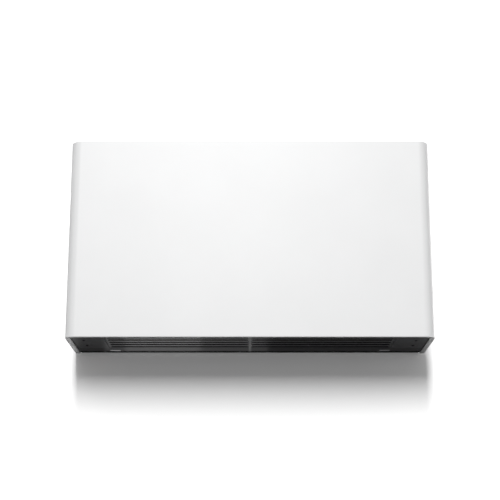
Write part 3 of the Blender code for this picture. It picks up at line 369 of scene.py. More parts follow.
class Builder:
    """A bmesh that collects the islands of one piece."""

    def __init__(self):
        self.bm = bmesh.new()

    def ring(self, points):
        return [self.bm.verts.new(p) for p in points]

    def bridge(self, first, second, closed=True):
        count = len(first)
        for i in range(count if closed else count - 1):
            j = (i + 1) % count
            self.bm.faces.new((first[i], first[j], second[j], second[i]))

    def loft(self, loops, closed=False):
        """Loops joined in order. The two ends are filled, or joined to each other when closed."""
        rings = [self.ring(loop) for loop in loops]
        for a, b in zip(rings, rings[1:]):
            self.bridge(a, b)
        if closed:
            self.bridge(rings[-1], rings[0])
        else:
            self.bm.faces.new(rings[0])
            self.bm.faces.new(rings[-1])
        return self

    def stack(self, axis, levels, closed=False):
        """Outlines at their places along the axis, joined in order."""
        return self.loft([[point(axis, p, at) for p in outline] for outline, at in levels], closed)

    def prism(self, outline, axis, low, high, edge=0.0):
        """An outline extruded along the axis; edge is how far its two rims are drawn in, as a small chamfer."""
        if not edge:
            return self.stack(axis, ((outline, low), (outline, high)))
        inner = inset(outline, edge)
        return self.stack(axis, ((inner, low), (outline, low + edge), (outline, high - edge), (inner, high)))

    def box(self, low, high):
        return self.prism(rectangle(low[:2], high[:2]), "z", low[2], high[2], 0.3 * MM)

    def turned(self, axis, centre, profile, sides=32, closed=False):
        """A profile of (along, radius) pairs turned about the axis; closed when the profile is a loop."""
        return self.stack(axis, [(circle(centre, radius, sides), along) for along, radius in profile], closed)

    def band(self, axis, centre, low, high, inner, outer, sides):
        """A plain ring round a tube, with its radii in millimetres."""
        radii = ((low, inner), (low, outer), (high, outer), (high, inner))
        return self.turned(axis, centre, [(at, radius * MM) for at, radius in radii], sides, closed=True)

    def finish(self, name, look, replaces="", smooth_deg=35, body="chassis"):
        bmesh.ops.recalc_face_normals(self.bm, faces=self.bm.faces)
        mesh = bpy.data.meshes.new(name)
        self.bm.to_mesh(mesh)
        self.bm.free()
        place(name, mesh, look, replaces, smooth_deg, body)


def place(name, mesh, look, replaces="", smooth_deg=35, body="chassis"):
    """Makes a piece of the mesh, gives it its finish, and lets it ride on its body."""
    slot, material = LOOKS[look]
    obj = new_object(name, mesh)
    mesh.materials.clear()
    mesh.materials.append(material)
    mesh.shade_smooth()
    mesh.set_sharp_from_angle(angle=math.radians(smooth_deg))
    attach(obj, body)
    if replaces:
        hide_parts(replaces)


def signed_area(outline):
    return sum(a[0] * b[1] - b[0] * a[1] for a, b in zip(outline, outline[1:] + outline[:1])) / 2


def inset(outline, amount):
    """The outline moved inwards along its corners' bisectors."""
    turn = 1 if signed_area(outline) > 0 else -1
    made = []
    for before, here, after in zip(outline[-1:] + outline[:-1], outline, outline[1:] + outline[:1]):
        first = Vector((here[0] - before[0], here[1] - before[1])).normalized()
        second = Vector((after[0] - here[0], after[1] - here[1])).normalized()
        normal = Vector((-first.y - second.y, first.x + second.x)) * turn
        if normal.length < 1e-9:
            made.append(here)
            continue
        normal.normalize()
        share = max(0.4, abs(normal.dot(Vector((-first.y, first.x)))))
        made.append((here[0] + normal.x * amount / share, here[1] + normal.y * amount / share))
    return made


def new_curve(name, dimensions, bevel, resolution):
    curve = bpy.data.curves.new(name, "CURVE")
    curve.dimensions = dimensions
    curve.bevel_depth = bevel
    curve.bevel_resolution = resolution
    return curve


def add_spline(curve, kind, points):
    spline = curve.splines.new(kind)
    spline.points.add(len(points) - 1)
    for slot, co in zip(spline.points, points):
        slot.co = (*co, 1.0)
    return spline


def curve_mesh(curve):
    """The curve's surface as a mesh; the curve itself is removed."""
    name = curve.name
    maker = new_object(name + "_curve", curve)
    bpy.context.view_layer.update()
    mesh = bpy.data.meshes.new_from_object(maker.evaluated_get(bpy.context.evaluated_depsgraph_get()))
    bpy.data.objects.remove(maker)
    bpy.data.curves.remove(curve)
    mesh.name = name
    return mesh


def plate(name, axis, outline, holes, low, edge, look, replaces="", body="chassis"):
    """A flat sheet with holes and softly rounded rims, from one filled curve turned into a mesh."""
    curve = new_curve(name, "2D", edge, 1)
    curve.fill_mode = "BOTH"
    curve.extrude = SHEET / 2 - edge
    curve.offset = -edge
    for shape in (outline, *holes):
        add_spline(curve, "POLY", [(*pair, 0.0) for pair in shape]).use_cyclic_u = True
    flat = curve_mesh(curve)
    for vert in flat.vertices:
        x, y, z = vert.co
        vert.co = point(axis, (x, y), low + SHEET / 2 + z)
    bm = bmesh.new()
    bm.from_mesh(flat)
    bmesh.ops.remove_doubles(bm, verts=bm.verts, dist=1e-6)
    bmesh.ops.recalc_face_normals(bm, faces=bm.faces)
    bm.to_mesh(flat)
    bm.free()
    place(name, flat, look, replaces, body=body)


# ---------------------------------------------------------------- casing
def casing_stations():
    """Stations round the casing's plan: outer point, inward normal, and the bottom and top flanges' free edges."""
    opening = HALF_WIDTH - FLANGE
    opening_radius = 22 * MM
    support = 1 * MM
    steps = 24
    centre = (HALF_WIDTH - CORNER_RADIUS, FRONT + CORNER_RADIUS)
    edges = (FRONT + HEM, FRONT + FLANGE)
    right = [((HALF_WIDTH, y), (-1, 0), [(opening, y)] * 2) for y in (CASING_BACK - BEND, centre[1] + support)]
    for i in range(steps + 1):
        angle = -math.radians(90 * i / steps)
        inner = [
            on_circle((opening - opening_radius, edge + opening_radius), opening_radius, angle) for edge in edges
        ]
        normal = (-math.cos(angle), -math.sin(angle))
        right.append((on_circle(centre, CORNER_RADIUS, angle), normal, inner))
    x = centre[0] - support
    right.append(((x, FRONT), (0, 1), [(x, edge) for edge in edges]))
    left = [
        ((-outer[0], outer[1]), (-normal[0], normal[1]), [(-p[0], p[1]) for p in inner])
        for outer, normal, inner in reversed(right)
    ]
    return right + left


def casing_loop(outer, normal, inner):
    """The sheet's closed section at one station: bottom flange, wall and top flange."""
    rim = 0.35 * MM
    support = 1 * MM
    bottom_edge, top_edge = (Vector(p) for p in inner)
    start, inward = Vector(outer), Vector(normal)
    root = start + inward * BEND

    def at(offset, z):
        return (*(start + inward * offset), z)

    def flange(edge, back_off, z):
        return (*(edge + (root - edge).normalized() * back_off), z)

    def fold(radius, from_side, bottom):
        """A quarter turn between the wall and a flange."""
        turns = [math.radians(90 * i / 4) for i in range(5)]
        for a in turns:
            out, up = (math.cos(a), math.sin(a)) if from_side else (math.sin(a), math.cos(a))
            yield at(BEND - radius * out, BOTTOM + BEND - radius * up if bottom else TOP - BEND + radius * up)

    return [
        flange(bottom_edge, 0, BOTTOM + SHEET - rim),
        flange(bottom_edge, 0, BOTTOM + rim),
        flange(bottom_edge, rim, BOTTOM),
        *fold(BEND, False, True),
        at(0, BOTTOM + BEND + support),
        at(0, TOP - BEND - support),
        *fold(BEND, True, False),
        flange(top_edge, rim, TOP),
        flange(top_edge, 0, TOP - rim),
        flange(top_edge, 0, TOP - SHEET + rim),
        flange(top_edge, rim, TOP - SHEET),
        *fold(INNER_BEND, False, False),
        *fold(INNER_BEND, True, True),
        flange(bottom_edge, rim, BOTTOM + SHEET),
    ]


def make_casing():
    """The folded shell, and the hem that turns in along each back edge."""
    shell = Builder()
    shell.loft([casing_loop(*station) for station in casing_stations()])
    centre = (HALF_WIDTH - BEND, CASING_BACK - BEND)
    hem = [
        (HALF_WIDTH - FLANGE, CASING_BACK),
        *arc(centre, BEND, 90, 0, 4),
        *arc(centre, INNER_BEND, 0, 90, 4),
        (HALF_WIDTH - FLANGE, CASING_BACK - SHEET),
    ]
    for side in (-1, 1):
        shell.prism([(side * x, y) for x, y in hem], "z", BOTTOM, TOP, 0.3 * MM)
    shell.finish("casing_shell", "white", "front_casing", 30, "casing")


# ---------------------------------------------------------------- small parts
def screw_group(name, axis, out, heads, radius=4 * MM, look="zinc"):
    """Pan-head screws with a cross recess; out is +1 or -1 along the axis, heads are points on the surface."""
    group = Builder()
    rise = 0.55 * radius
    first, second, third = PLANE[axis]
    for head in heads:
        centre, base = (head[first], head[second]), head[third]
        levels = [
            (circle(centre, radius * share, 16), base + out * rise * lift)
            for share, lift in ((1.0, 0.0), (1.0, 0.25), (0.93, 0.6), (0.74, 0.9), (0.5, 1.0))
        ]
        star = [
            on_circle(centre, radius * (0.46, 0.16, 0.2, 0.16)[i % 4], 2 * math.pi * i / 16)
            for i in range(16)
        ]
        levels += [(star, base + out * rise * depth) for depth in (1.0, 0.45)]
        group.stack(axis, levels)
    group.finish(name, look, smooth_deg=40)


def rivet_group(name, axis, out, heads):
    """Blind rivets: a low dome with the broken mandrel's dimple."""
    group = Builder()
    radius = 2.6 * MM
    first, second, third = PLANE[axis]
    dome = ((0.0, 1.0), (0.25, 0.98), (0.42, 0.7), (0.46, 0.42), (0.32, 0.36), (0.32, 0.01))
    for head in heads:
        profile = [(head[third] + out * radius * up, radius * share) for up, share in dome]
        group.turned(axis, (head[first], head[second]), profile, 14)
    group.finish(name, "dull_zinc", smooth_deg=40)


def tube(name, points, radius, look, replaces="", resolution=6, smooth=False):
    """A round tube on the chassis along points, as a mesh made from a bevelled curve."""
    curve = new_curve(name, "3D", radius, resolution)
    curve.use_fill_caps = True
    spline = add_spline(curve, "NURBS" if smooth else "POLY", points)
    if smooth:
        spline.order_u = 3
        spline.use_endpoint_u = True
        spline.resolution_u = 6
    place(name, curve_mesh(curve), look, replaces, 40)


def rounded_route(corners, radius, steps=8):
    """The corners joined by straight runs, each inner corner rounded."""
    points = [Vector(corners[0])]
    for before, corner, after in zip(corners, corners[1:], corners[2:]):
        here = Vector(corner)
        back, ahead = (Vector(before) - here).normalized(), (Vector(after) - here).normalized()
        centre = here + (back + ahead) * radius
        for k in range(steps + 1):
            angle = math.pi / 2 * k / steps
            points.append(centre - ahead * radius * math.cos(angle) - back * radius * math.sin(angle))
    points.append(Vector(corners[-1]))
    return points


# ---------------------------------------------------------------- casing liner
def make_liner():
    """Convoluted foam: rows of rounded peaks on a solid back."""
    low, high = span("casing_liner")
    pitch, per_pitch = 23 * MM, 4
    base, peak_height = 2.0, 2.8  # in millimetres
    columns = round((high.x - low.x) / pitch) * per_pitch
    rows = round((high.z - low.z) / pitch) * per_pitch
    liner = Builder()
    grid = []
    for j in range(rows + 1):
        z = low.z + (high.z - low.z) * j / rows
        line = []
        for i in range(columns + 1):
            x = low.x + (high.x - low.x) * i / columns
            peak = math.sin(math.pi * i / per_pitch) ** 2 * math.sin(math.pi * j / per_pitch) ** 2
            edge = i in (0, columns) or j in (0, rows)
            line.append((x, low.y + (base if edge else base + peak_height * peak) * MM, z))
        grid.append(liner.ring(line))
    for a, b in zip(grid, grid[1:]):
        liner.bridge(a, b, closed=False)
    border = grid[0] + [line[-1] for line in grid[1:]] + grid[-1][-2::-1] + [line[0] for line in grid[-2:0:-1]]
    back = liner.ring([(v.co.x, low.y, v.co.z) for v in border])
    liner.bridge(border, back)
    liner.bm.faces.new(back)
    liner.finish("convoluted_liner", "foam", "casing_liner", 60, "casing")


# ---------------------------------------------------------------- back plate
def make_back_plate():
    """The back pan with its turned edges in black as painted shade, its cable openings and pressed stiffening ribs.
    """
    low, high = span("back_plate")
    floor_back = low.y + SHEET
    openings = []
    for side in (-1, 1):
        for x, z, half_x, half_z in ((518, 90, 26, 34), (330, 560, 30, 12)):
            openings.append(
                rounded_about(side * x * MM, BOTTOM + z * MM, half_x * MM, half_z * MM, 5 * MM, 4)
            )
        openings.append(circle((side * 400 * MM, BOTTOM + 60 * MM), 4 * MM, 20))
    outline = rounded((low.x, low.z), (high.x, high.z), 3 * MM, 4)
    plate("back_pan", "y", outline, openings, low.y, 0.25 * MM, "galvanised", "back_plate")
    inner, soft = inset(outline, SHEET), 0.3 * MM
    rim = Builder()
    levels = [
        (outline, floor_back - 0.6 * MM),
        (outline, high.y - soft),
        (inset(outline, soft), high.y),
        (inset(outline, SHEET - soft), high.y),
        (inner, high.y - soft),
        (inner, floor_back - 0.6 * MM),
    ]
    # the turned edges are black as painted shade: the galvanised rim stands in for the dark, shaded gap along the
    # pan's rear edge
    rim.stack("y", levels, closed=True).finish("back_pan_rim_painted_shade", "black")
    ribs = Builder()
    for half_x, z in ((440, 150), (440, 250), (440, 350), (440, 450), (250, 60)):
        levels = []
        for draw, up in ((0.0, -0.4), (1.2, 1.2), (3.2, 2.5), (6.0, 3.0)):
            reach_x, reach_z = (half_x - draw) * MM, (9 - draw) * MM
            shape = rounded_about(0, BOTTOM + z * MM, reach_x, reach_z, reach_z - 0.01 * MM, 6)
            levels.append((shape, floor_back + up * MM))
        ribs.stack("y", levels)
    ribs.finish("back_pan_ribs", "galvanised", smooth_deg=60)
    rail_low = span("hanger_rail")[0]
    heads = [(x * MM, floor_back, rail_low.z - 8 * MM) for x in range(-380, 381, 95)]
    rivet_group("hanger_rivets", "y", 1, heads)
    edge = [(x * MM, floor_back, BOTTOM + 20 * MM) for x in (-500, -300, -100, 100, 300, 500)]
    edge += [(side * 560 * MM, floor_back, BOTTOM + z * MM) for side in (-1, 1) for z in (150, 290, 430, 590)]
    screw_group("back_pan_screws", "y", 1, edge, 3.6 * MM)


# ---------------------------------------------------------------- doors
def make_door(word, side):
    """The slotted door: slot plate, rim, two bored ends, and the knuckles on the hinge rod."""
    node, body = f"filter_door_{word}", f"door_{word}"
    low, high = span(node)
    pitch, width = 36 * MM, 17 * MM
    ends = sorted((side * 7 * MM, side * 465 * MM))
    slots = []
    for i in range(5):
        y = low.y + 3 * MM + i * pitch
        slots.append(rounded((ends[0], y), (ends[1], y + width), 2.5 * MM, 4))
    outline = rounded((low.x, low.y), (high.x, high.y), 1.5 * MM, 4)
    plate(f"door_{word}_plate", "z", outline, slots, low.z, 0.35 * MM, "black", node, body)
    wall_low = low.z + 0.7 * MM
    rim = Builder()
    for y in (low.y, high.y - SHEET):
        rim.box((low.x + SHEET, y, wall_low), (high.x - SHEET, y + SHEET, high.z))
    rim.finish(f"door_{word}_rim", "black", body=body)
    rod_low, rod_high = span("hinge_rod")
    axis = middle_of("hinge_rod")[1:]
    bore = (rod_high.z - rod_low.z) / 2 + 0.35 * MM
    latch_y = middle_of(f"latch_plate_{word}")[1] - 2 * MM
    tongue_slot = rectangle((latch_y - 4 * MM, low.z + 6.5 * MM), (latch_y + 10 * MM, low.z + 10 * MM))
    end = rounded((low.y, wall_low), (high.y, high.z), 0.8 * MM, 3)
    rod_hole = circle(axis, bore, 20)
    starts = sorted((low.x, high.x - SHEET), key=abs)
    for end_word, x, openings in zip(("inner", "outer"), starts, ([rod_hole], [rod_hole, tongue_slot])):
        plate(f"door_{word}_{end_word}_end", "x", end, openings, x, 0.3 * MM, "black", body=body)
    knuckles = Builder()
    half, reach, soft = 9 * MM, 3.4 * MM, 0.4 * MM
    for share in (0.04, 0.5, 0.96):
        x = low.x + (high.x - low.x) * share
        profile = [
            (x - half, bore),
            (x - half, reach - soft / 2),
            (x - half + soft, reach),
            (x + half - soft, reach),
            (x + half, reach - soft / 2),
            (x + half, bore),
        ]
        knuckles.turned("x", axis, profile, 20, closed=True)
    knuckles.finish(f"door_{word}_knuckles", "black", body=body)


def make_pleated_medium(word):
    """The filter fleece, folded in shallow pleats inside its frame."""
    low, high = span(f"filter_medium_{word}")
    count = round((high.x - low.x) / (7 * MM))
    thick = 0.8 * MM
    medium = Builder()
    rings = []
    for rise in (0, thick):
        line = [
            (low.x + (high.x - low.x) * i / (2 * count), (low.z if i % 2 else high.z - thick) + rise)
            for i in range(2 * count + 1)
        ]
        rings.append([medium.ring([(x, y, z) for x, z in line]) for y in (low.y, high.y)])
    lower, upper = rings
    for first, second in (lower, upper, *zip(lower, upper)):
        medium.bridge(first, second, closed=False)
    for end in (0, -1):
        medium.bm.faces.new((lower[0][end], lower[1][end], upper[1][end], upper[0][end]))
    medium.finish(f"pleated_medium_{word}", "fleece", f"filter_medium_{word}", 50, f"filter_{word}")


# ---------------------------------------------------------------- fans
FAN_AXIS = middle_of("motor_shaft")[1:]


def make_wheel(word):
    """A double-inlet wheel of forward-curved blades with rolled end rings, a dished disc and a clamping hub."""
    low, high = span(f"fan_wheel_{word}")
    full = (high.z - low.z) / 2 / MM  # the radii in millimetres
    inner, bore, hub = full - 15, 6.3, 14
    wheel = Builder()
    ring = (
        (0.3, inner - 1), (0, inner - 0.5), (0, full - 0.8), (0.5, full), (2.2, full), (2.8, full - 0.7),
        (1.2, full - 1.4), (1.2, inner - 1),
    )
    for edge, out in ((low.x, 1), (high.x, -1)):
        wheel.turned("x", FAN_AXIS, along_mm(edge, ring, out), 64, closed=True)
    middle = (low.x + high.x) / 2
    disc = [(-16, bore), (-16, hub - 1), (-15, hub), (-2, hub), (-1, hub + 3), (-0.9, full - 1)]
    disc += [(-along, radius) for along, radius in reversed(disc)]
    wheel.turned("x", FAN_AXIS, along_mm(middle, disc), 48, closed=True)
    count, steps, thick, lean = 44, 5, 0.009, 0.16  # the blades' thickness and lean are in radians
    tip_gap = 1.6
    for i in range(count):
        lines = [], []
        for k in range(steps + 1):
            share = k / steps
            reach = (inner + (full - tip_gap - inner) * share) * MM
            for line, extra in zip(lines, (0.0, thick)):
                turn = 2 * math.pi * i / count + lean * share * share + extra
                line.append(on_circle(FAN_AXIS, reach, turn))
        wheel.prism(lines[0] + lines[1][::-1], "x", low.x + 0.8 * MM, high.x - 0.8 * MM)
    wheel.finish(f"blade_wheel_{word}", "galvanised", f"fan_wheel_{word}", 30, "fan_rotor")
    screw = along_mm(FAN_AXIS[1] + hub * MM, ((-1, 2), (1.2, 2)))
    Builder().turned("z", (middle, FAN_AXIS[0]), screw, 6).finish(f"hub_screw_{word}", "steel", body="fan_rotor")


def scroll_points(top, draw, steps=56):
    """The spiral from the tongue down, forward and up to the outlet, drawn in by the given amount."""
    start_deg, end_deg = 50, -180
    start_radius, end_radius = 82 * MM, 116 * MM
    points = []
    for i in range(steps + 1):
        share = i / steps
        angle = math.radians(start_deg + (end_deg - start_deg) * share)
        points.append(on_circle(FAN_AXIS, start_radius + (end_radius - start_radius) * share - draw, angle))
    return [(points[0][0], top), *points, (points[-1][0], top)]


def make_housing(word):
    """A scroll: spiral sheet between two cheeks, each cheek with a bell-mouthed inlet."""
    node = f"fan_housing_{word}"
    low, high = span(node)
    shell = Builder()
    outline = scroll_points(high.z, 0) + scroll_points(high.z, SHEET)[::-1]
    shell.prism(outline, "x", low.x + 0.4 * MM, high.x - 0.4 * MM)
    shell.finish(f"scroll_{word}", "galvanised", node, 30)
    cheek = scroll_points(high.z, 0.2 * MM)
    mouth = (
        (0.2, 67), (0.2, 65.5), (1.2, 63), (4.0, 61.4), (7.5, 61.0), (7.5, 61.8), (4.2, 62.3), (1.9, 64.6),
    )
    inlet = circle(FAN_AXIS, 64 * MM, 64)
    for place_word, at, out in (("inner", low.x, 1), ("outer", high.x, -1)):
        start = min(at, at + out * SHEET)
        name = f"{word}_{place_word}"
        plate(f"cheek_{name}", "x", cheek, [inlet], start, 0.3 * MM, "galvanised")
        bell = Builder().turned("x", FAN_AXIS, along_mm(at, mouth, out), 64, closed=True)
        bell.finish(f"inlet_bell_{name}", "galvanised", smooth_deg=60)


def make_motor():
    """The motor: a shell with two dished ends and raised bands, and its through bolts."""
    low, high = span("motor_body")
    full = (high.z - low.z) / 2 / MM
    end = (
        (0, 6.4), (0, 16), (1, 18), (7, 18.5), (8, 24), (10, 34), (14, 44), (20, full - 2), (23, full - 1.5),
        (23.5, full - 3.5), (26, full - 3.5), (26.5, full),
    )
    profile = along_mm(low.x, end) + along_mm(high.x, end, -1)[::-1]
    shell = Builder().turned("x", FAN_AXIS, profile, 64, closed=True)
    shell.finish("motor_shell", "enamel", "motor_body", 30)
    bolts = Builder()
    for k in range(4):
        centre = on_circle(FAN_AXIS, 40 * MM, math.radians(45 + 90 * k))
        for at, out in ((low.x + 13 * MM, -1), (high.x - 13 * MM, 1)):
            bolts.turned("x", centre, along_mm(at, ((0, 3.4), (3, 3.4), (3.6, 2.8)), out), 6)
    bolts.finish("motor_bolts", "zinc")


# ---------------------------------------------------------------- coil and pipes
COIL_LOW, COIL_HIGH = span("coil_fin_pack")
ROW_LOW, ROW_HIGH = COIL_LOW.z + 17 * MM, COIL_LOW.z + 53 * MM
COLUMNS = [COIL_LOW.y + (COIL_HIGH.y - COIL_LOW.y) / 5 * (i + 0.5) for i in range(5)]


def make_fins():
    """Thin fins with rippled edges."""
    fins = Builder()
    low, high = COIL_LOW, COIL_HIGH
    pitch, thick, ripple = 4.0 * MM, 0.35 * MM, 0.45 * MM
    half = thick / 2
    count = int((high.x - low.x - thick) / pitch)
    waves = 22
    for i in range(count + 1):
        x = low.x + half + (high.x - low.x - thick) * i / count
        loops = []
        for k in range(waves + 1):
            y = low.y + (high.y - low.y) * k / waves
            sway = ripple * math.cos(math.pi * k) * (0 if i in (0, count) else 1)
            at = min(max(x + sway, low.x + half), high.x - half)
            corners = ((at - half, low.z), (at + half, low.z), (at + half, high.z), (at - half, high.z))
            loops.append([(x_at, y, z) for x_at, z in corners])
        fins.loft(loops)
    fins.finish("fin_stack", "fin", "coil_fin_pack", 20)


def make_coil():
    """A copper serpentine through the fins, with a collar where each run leaves them."""
    # the runs' (y, z) in the order that the water meets them
    places = [(y, ROW_LOW) for y in COLUMNS] + [(y, ROW_HIGH) for y in reversed(COLUMNS)]
    tube_x = span("coil_tube")[0].x
    bend_start = COIL_HIGH.x + 6 * MM
    points = []
    for i, (y, z) in enumerate(places):
        start, finish = (-bend_start, bend_start) if i % 2 == 0 else (bend_start, -bend_start)
        if i == 0:
            start = tube_x
        if i == len(places) - 1:
            finish = tube_x
        points += [Vector((start, y, z)), Vector((finish, y, z))]
        if i + 1 < len(places):
            this, following = Vector((finish, y, z)), Vector((finish, *places[i + 1]))
            centre, spoke = (this + following) / 2, (this - following) / 2
            outward = Vector((spoke.length if finish > 0 else -spoke.length, 0, 0))
            for k in range(1, 12):
                angle = math.pi * k / 12
                points.append(centre + spoke * math.cos(angle) + outward * math.sin(angle))
    tube("serpentine_tube", points, 6 * MM, "copper", "coil_tube", 4)
    collars = Builder()
    for y, z in places:
        for side in (-1, 1):
            at = side * (COIL_HIGH.x + 2.0 * MM)
            low, high = sorted((at, at + side * 2.2 * MM))
            ring = [(low, 6.05 * MM), (low, 7.4 * MM), (high, 7.0 * MM), (high, 6.05 * MM)]
            collars.turned("x", (y, z), ring, 20, closed=True)
    collars.finish("tube_collars", "copper")


def hexagon_nut(group, axis, centre, low, high, flats):
    """A chamfered hexagon round the axis."""
    reach = flats / 2 / math.cos(math.pi / 6)
    profile = [(low, reach * 0.9), (low + 1 * MM, reach), (high - 1 * MM, reach), (high, reach * 0.9)]
    group.turned(axis, centre, profile, 6)


def make_valve(x, y):
    """The valve with its nuts, and the actuator's ribbed head."""
    low, high = span("valve_body")
    middle = (low.z + high.z) / 2
    body = Builder()
    profile = along_mm(low.z, ((11, 10), (13, 11))) + along_mm(middle, ((-9, 12), (-6, 14), (6, 14), (9, 12)))
    body.turned("z", (x, y), profile + along_mm(high.z, ((-13, 11), (-11, 10))), 32)
    nut = 11.2 * MM
    for start in (low.z, high.z - nut):
        hexagon_nut(body, "z", (x, y), start, start + nut, 21 * MM)
    neck = along_mm(y, ((4, 9), (18, 9), (19, 8))) + [(high.y, 8 * MM)]
    body.turned("y", (x, middle), neck, 32)
    hexagon_nut(body, "y", (x, middle), y + 14 * MM, y + 18.5 * MM, 19 * MM)
    body.finish("valve_and_nuts", "brass", "valve_body", 30)
    head_low, head_high = span("valve_actuator")
    rings = along_mm(head_low.y, ((0, 11), (1, 12), (6, 12.4), (7, 14), (30, 14), (34, 13)))
    rings += along_mm(head_high.y, ((-1, 10.5), (0, 9)))
    levels = []
    for at, reach in rings:
        groove = 0.6 * MM if reach > 13.5 * MM else 0.0
        depths = (0.0, groove, groove, 0.0)
        outline = [on_circle((x, middle), reach - depths[i % 4], 2 * math.pi * i / 48) for i in range(48)]
        levels.append((outline, at))
    head = Builder().stack("y", levels)
    head.finish("actuator_head", "white_plastic", "valve_actuator", 30)


def make_pipework():
    """Smooth flow and return pipes with solder sleeves and clips, and the valve between them."""
    y = COLUMNS[0]
    flow_low, flow_high = span("flow_pipe")
    radius = 7.5 * MM
    flow_x, return_x = flow_low.x + radius, span("return_pipe")[0].x + radius
    drop_y, end_z = flow_high.y - radius, flow_low.z
    gap = 0.3 * MM
    tube_end = span("coil_tube")[0].x - gap
    bend = 16 * MM
    run_z = BOTTOM + 80 * MM
    deep = y + 34 * MM
    valve_low, valve_high = (corner.z for corner in span("valve_body"))
    branch = [(tube_end, y, ROW_LOW), (flow_x, y, ROW_LOW), (flow_x, y, valve_high + gap)]
    flow = [(flow_x, y, valve_low - gap), (flow_x, y, run_z), (flow_x, drop_y, run_z), (flow_x, drop_y, end_z)]
    back = [
        (tube_end, y, ROW_HIGH),
        (return_x, y, ROW_HIGH),
        (return_x, deep, ROW_HIGH),
        (return_x, deep, run_z + 20 * MM),
        (return_x, drop_y, run_z + 20 * MM),
        (return_x, drop_y, end_z),
    ]
    tube("flow_branch_tube", rounded_route(branch, bend), radius, "copper", "flow_branch")
    tube("flow_tube", rounded_route(flow, bend), radius, "copper", "flow_pipe")
    tube("return_tube", rounded_route(back, 9 * MM), radius, "copper", "return_pipe")
    make_valve(flow_x, y)
    sleeves = Builder()
    sleeves.band("x", (y, ROW_LOW), tube_end - 12 * MM, tube_end + 0.2 * MM, 7.6, 8.4, 28)
    for x in (flow_x, return_x):
        sleeves.band("z", (x, drop_y), end_z + 2 * MM, end_z + 12 * MM, 7.6, 8.3, 28)
    sleeves.finish("solder_sleeves", "copper", smooth_deg=40)
    clips = Builder()
    for centre, z in (((flow_x, y), run_z + 40 * MM), ((return_x, deep), (valve_low + valve_high) / 2 - 40 * MM)):
        clips.band("z", centre, z - 6 * MM, z + 6 * MM, 7.7, 9.2, 28)
    clips.finish("pipe_clips", "black_plastic")


# ---------------------------------------------------------------- electrics
def make_board_parts():
    """Modules and round capacitors on the circuit board, as shares of its width and height."""
    low, high = span("circuit_board")
    width, height = high.x - low.x, high.z - low.z
    modules = Builder()
    for share_x, share_z, half_x, half_z, tall in (
        (0.25, 0.82, 0.12, 0.07, 10),
        (0.66, 0.84, 0.2, 0.05, 6),
        (0.3, 0.5, 0.18, 0.09, 14),
        (0.74, 0.5, 0.12, 0.12, 9),
        (0.25, 0.16, 0.14, 0.06, 7),
        (0.66, 0.16, 0.16, 0.07, 8),
    ):
        x, z = low.x + width * share_x, low.z + height * share_z
        shape = rounded_about(x, z, width * half_x, height * half_z, 1.2 * MM, 3)
        modules.prism(shape, "y", low.y - tall * MM, low.y - 0.1 * MM, 0.4 * MM)
    modules.finish("board_modules", "black_plastic")
    cans = Builder()
    for share_x, share_z, radius, tall in ((0.5, 0.68, 4, 12), (0.78, 0.68, 3, 9), (0.5, 0.3, 3.4, 11)):
        profile = ((0.1, 0.9 * radius), (1.4, radius), (tall - 0.6, radius), (tall, 0.85 * radius))
        centre = (low.x + width * share_x, low.z + height * share_z)
        cans.turned("y", centre, along_mm(low.y, profile, -1), 24)
    cans.finish("board_capacitors", "steel")


def make_cover_details():
    low, high = span("control_box_cover")
    ribs = Builder()
    for k in range(6):
        z = low.z + (45 + 15 * k) * MM
        shape = rounded((low.x + 14 * MM, z), (high.x - 14 * MM, z + 5 * MM), 2.4 * MM, 5)
        ribs.prism(shape, "y", low.y - 1.2 * MM, low.y + 0.4 * MM, 0.5 * MM)
    ribs.finish("cover_ribs", "grey_plastic")
    xs, zs = (low.x + 7 * MM, high.x - 7 * MM), (low.z + 8 * MM, high.z - 8 * MM)
    screw_group("cover_screws", "y", -1, [(x, low.y, z) for x in xs for z in zs], 3 * MM)


def make_cables():
    """The supply wires from the gland, and the motor's cable with its ties."""
    gland_x, gland_y, _ = middle_of("cable_gland")
    gland_top = span("cable_gland")[1].z
    box_low, box_high = span("control_box")
    entry_y = box_high.y + 12 * MM
    for k, look in enumerate(("brown_wire", "blue_wire", "earth_wire")):
        x = gland_x + (k - 1) * 4.2 * MM
        route = [
            (gland_x, gland_y, gland_top - 6 * MM),
            (x, gland_y, gland_top + 22 * MM),
            (x, gland_y - 10 * MM, gland_top + 60 * MM),
            (x, entry_y, gland_top + 95 * MM),
            (x, entry_y - 2 * MM, box_low.z + 30 * MM),
            (x, box_high.y + 1.5 * MM, box_low.z + 44 * MM),
        ]
        tube(f"supply_{look}", route, 1.5 * MM, look, resolution=3, smooth=True)
    low, high = span("motor_lead")
    radius = 3 * MM
    start_x, end_x, y, top_z = low.x + radius, high.x - radius, high.y - radius, high.z - radius
    height = FAN_AXIS[1] + 30 * MM
    entry = box_high.y - 15 * MM
    route = [
        (start_x, min(low.y, y), height),
        (start_x, y, height),
        (start_x, y, top_z),
        (end_x, y, top_z),
        (end_x, entry, top_z),
        (end_x, entry, box_high.z - 12 * MM),
    ]
    tube("motor_cable", rounded_route(route, 8 * MM), radius, "cable", "motor_lead", 5)
    ties = Builder()
    for x in (0.12, 0.3, 0.42):
        ties.band("x", (y, top_z), x - 1.3 * MM, x + 1.3 * MM, 3.0, 4.1, 20)
    ties.finish("cable_ties", "black_plastic")


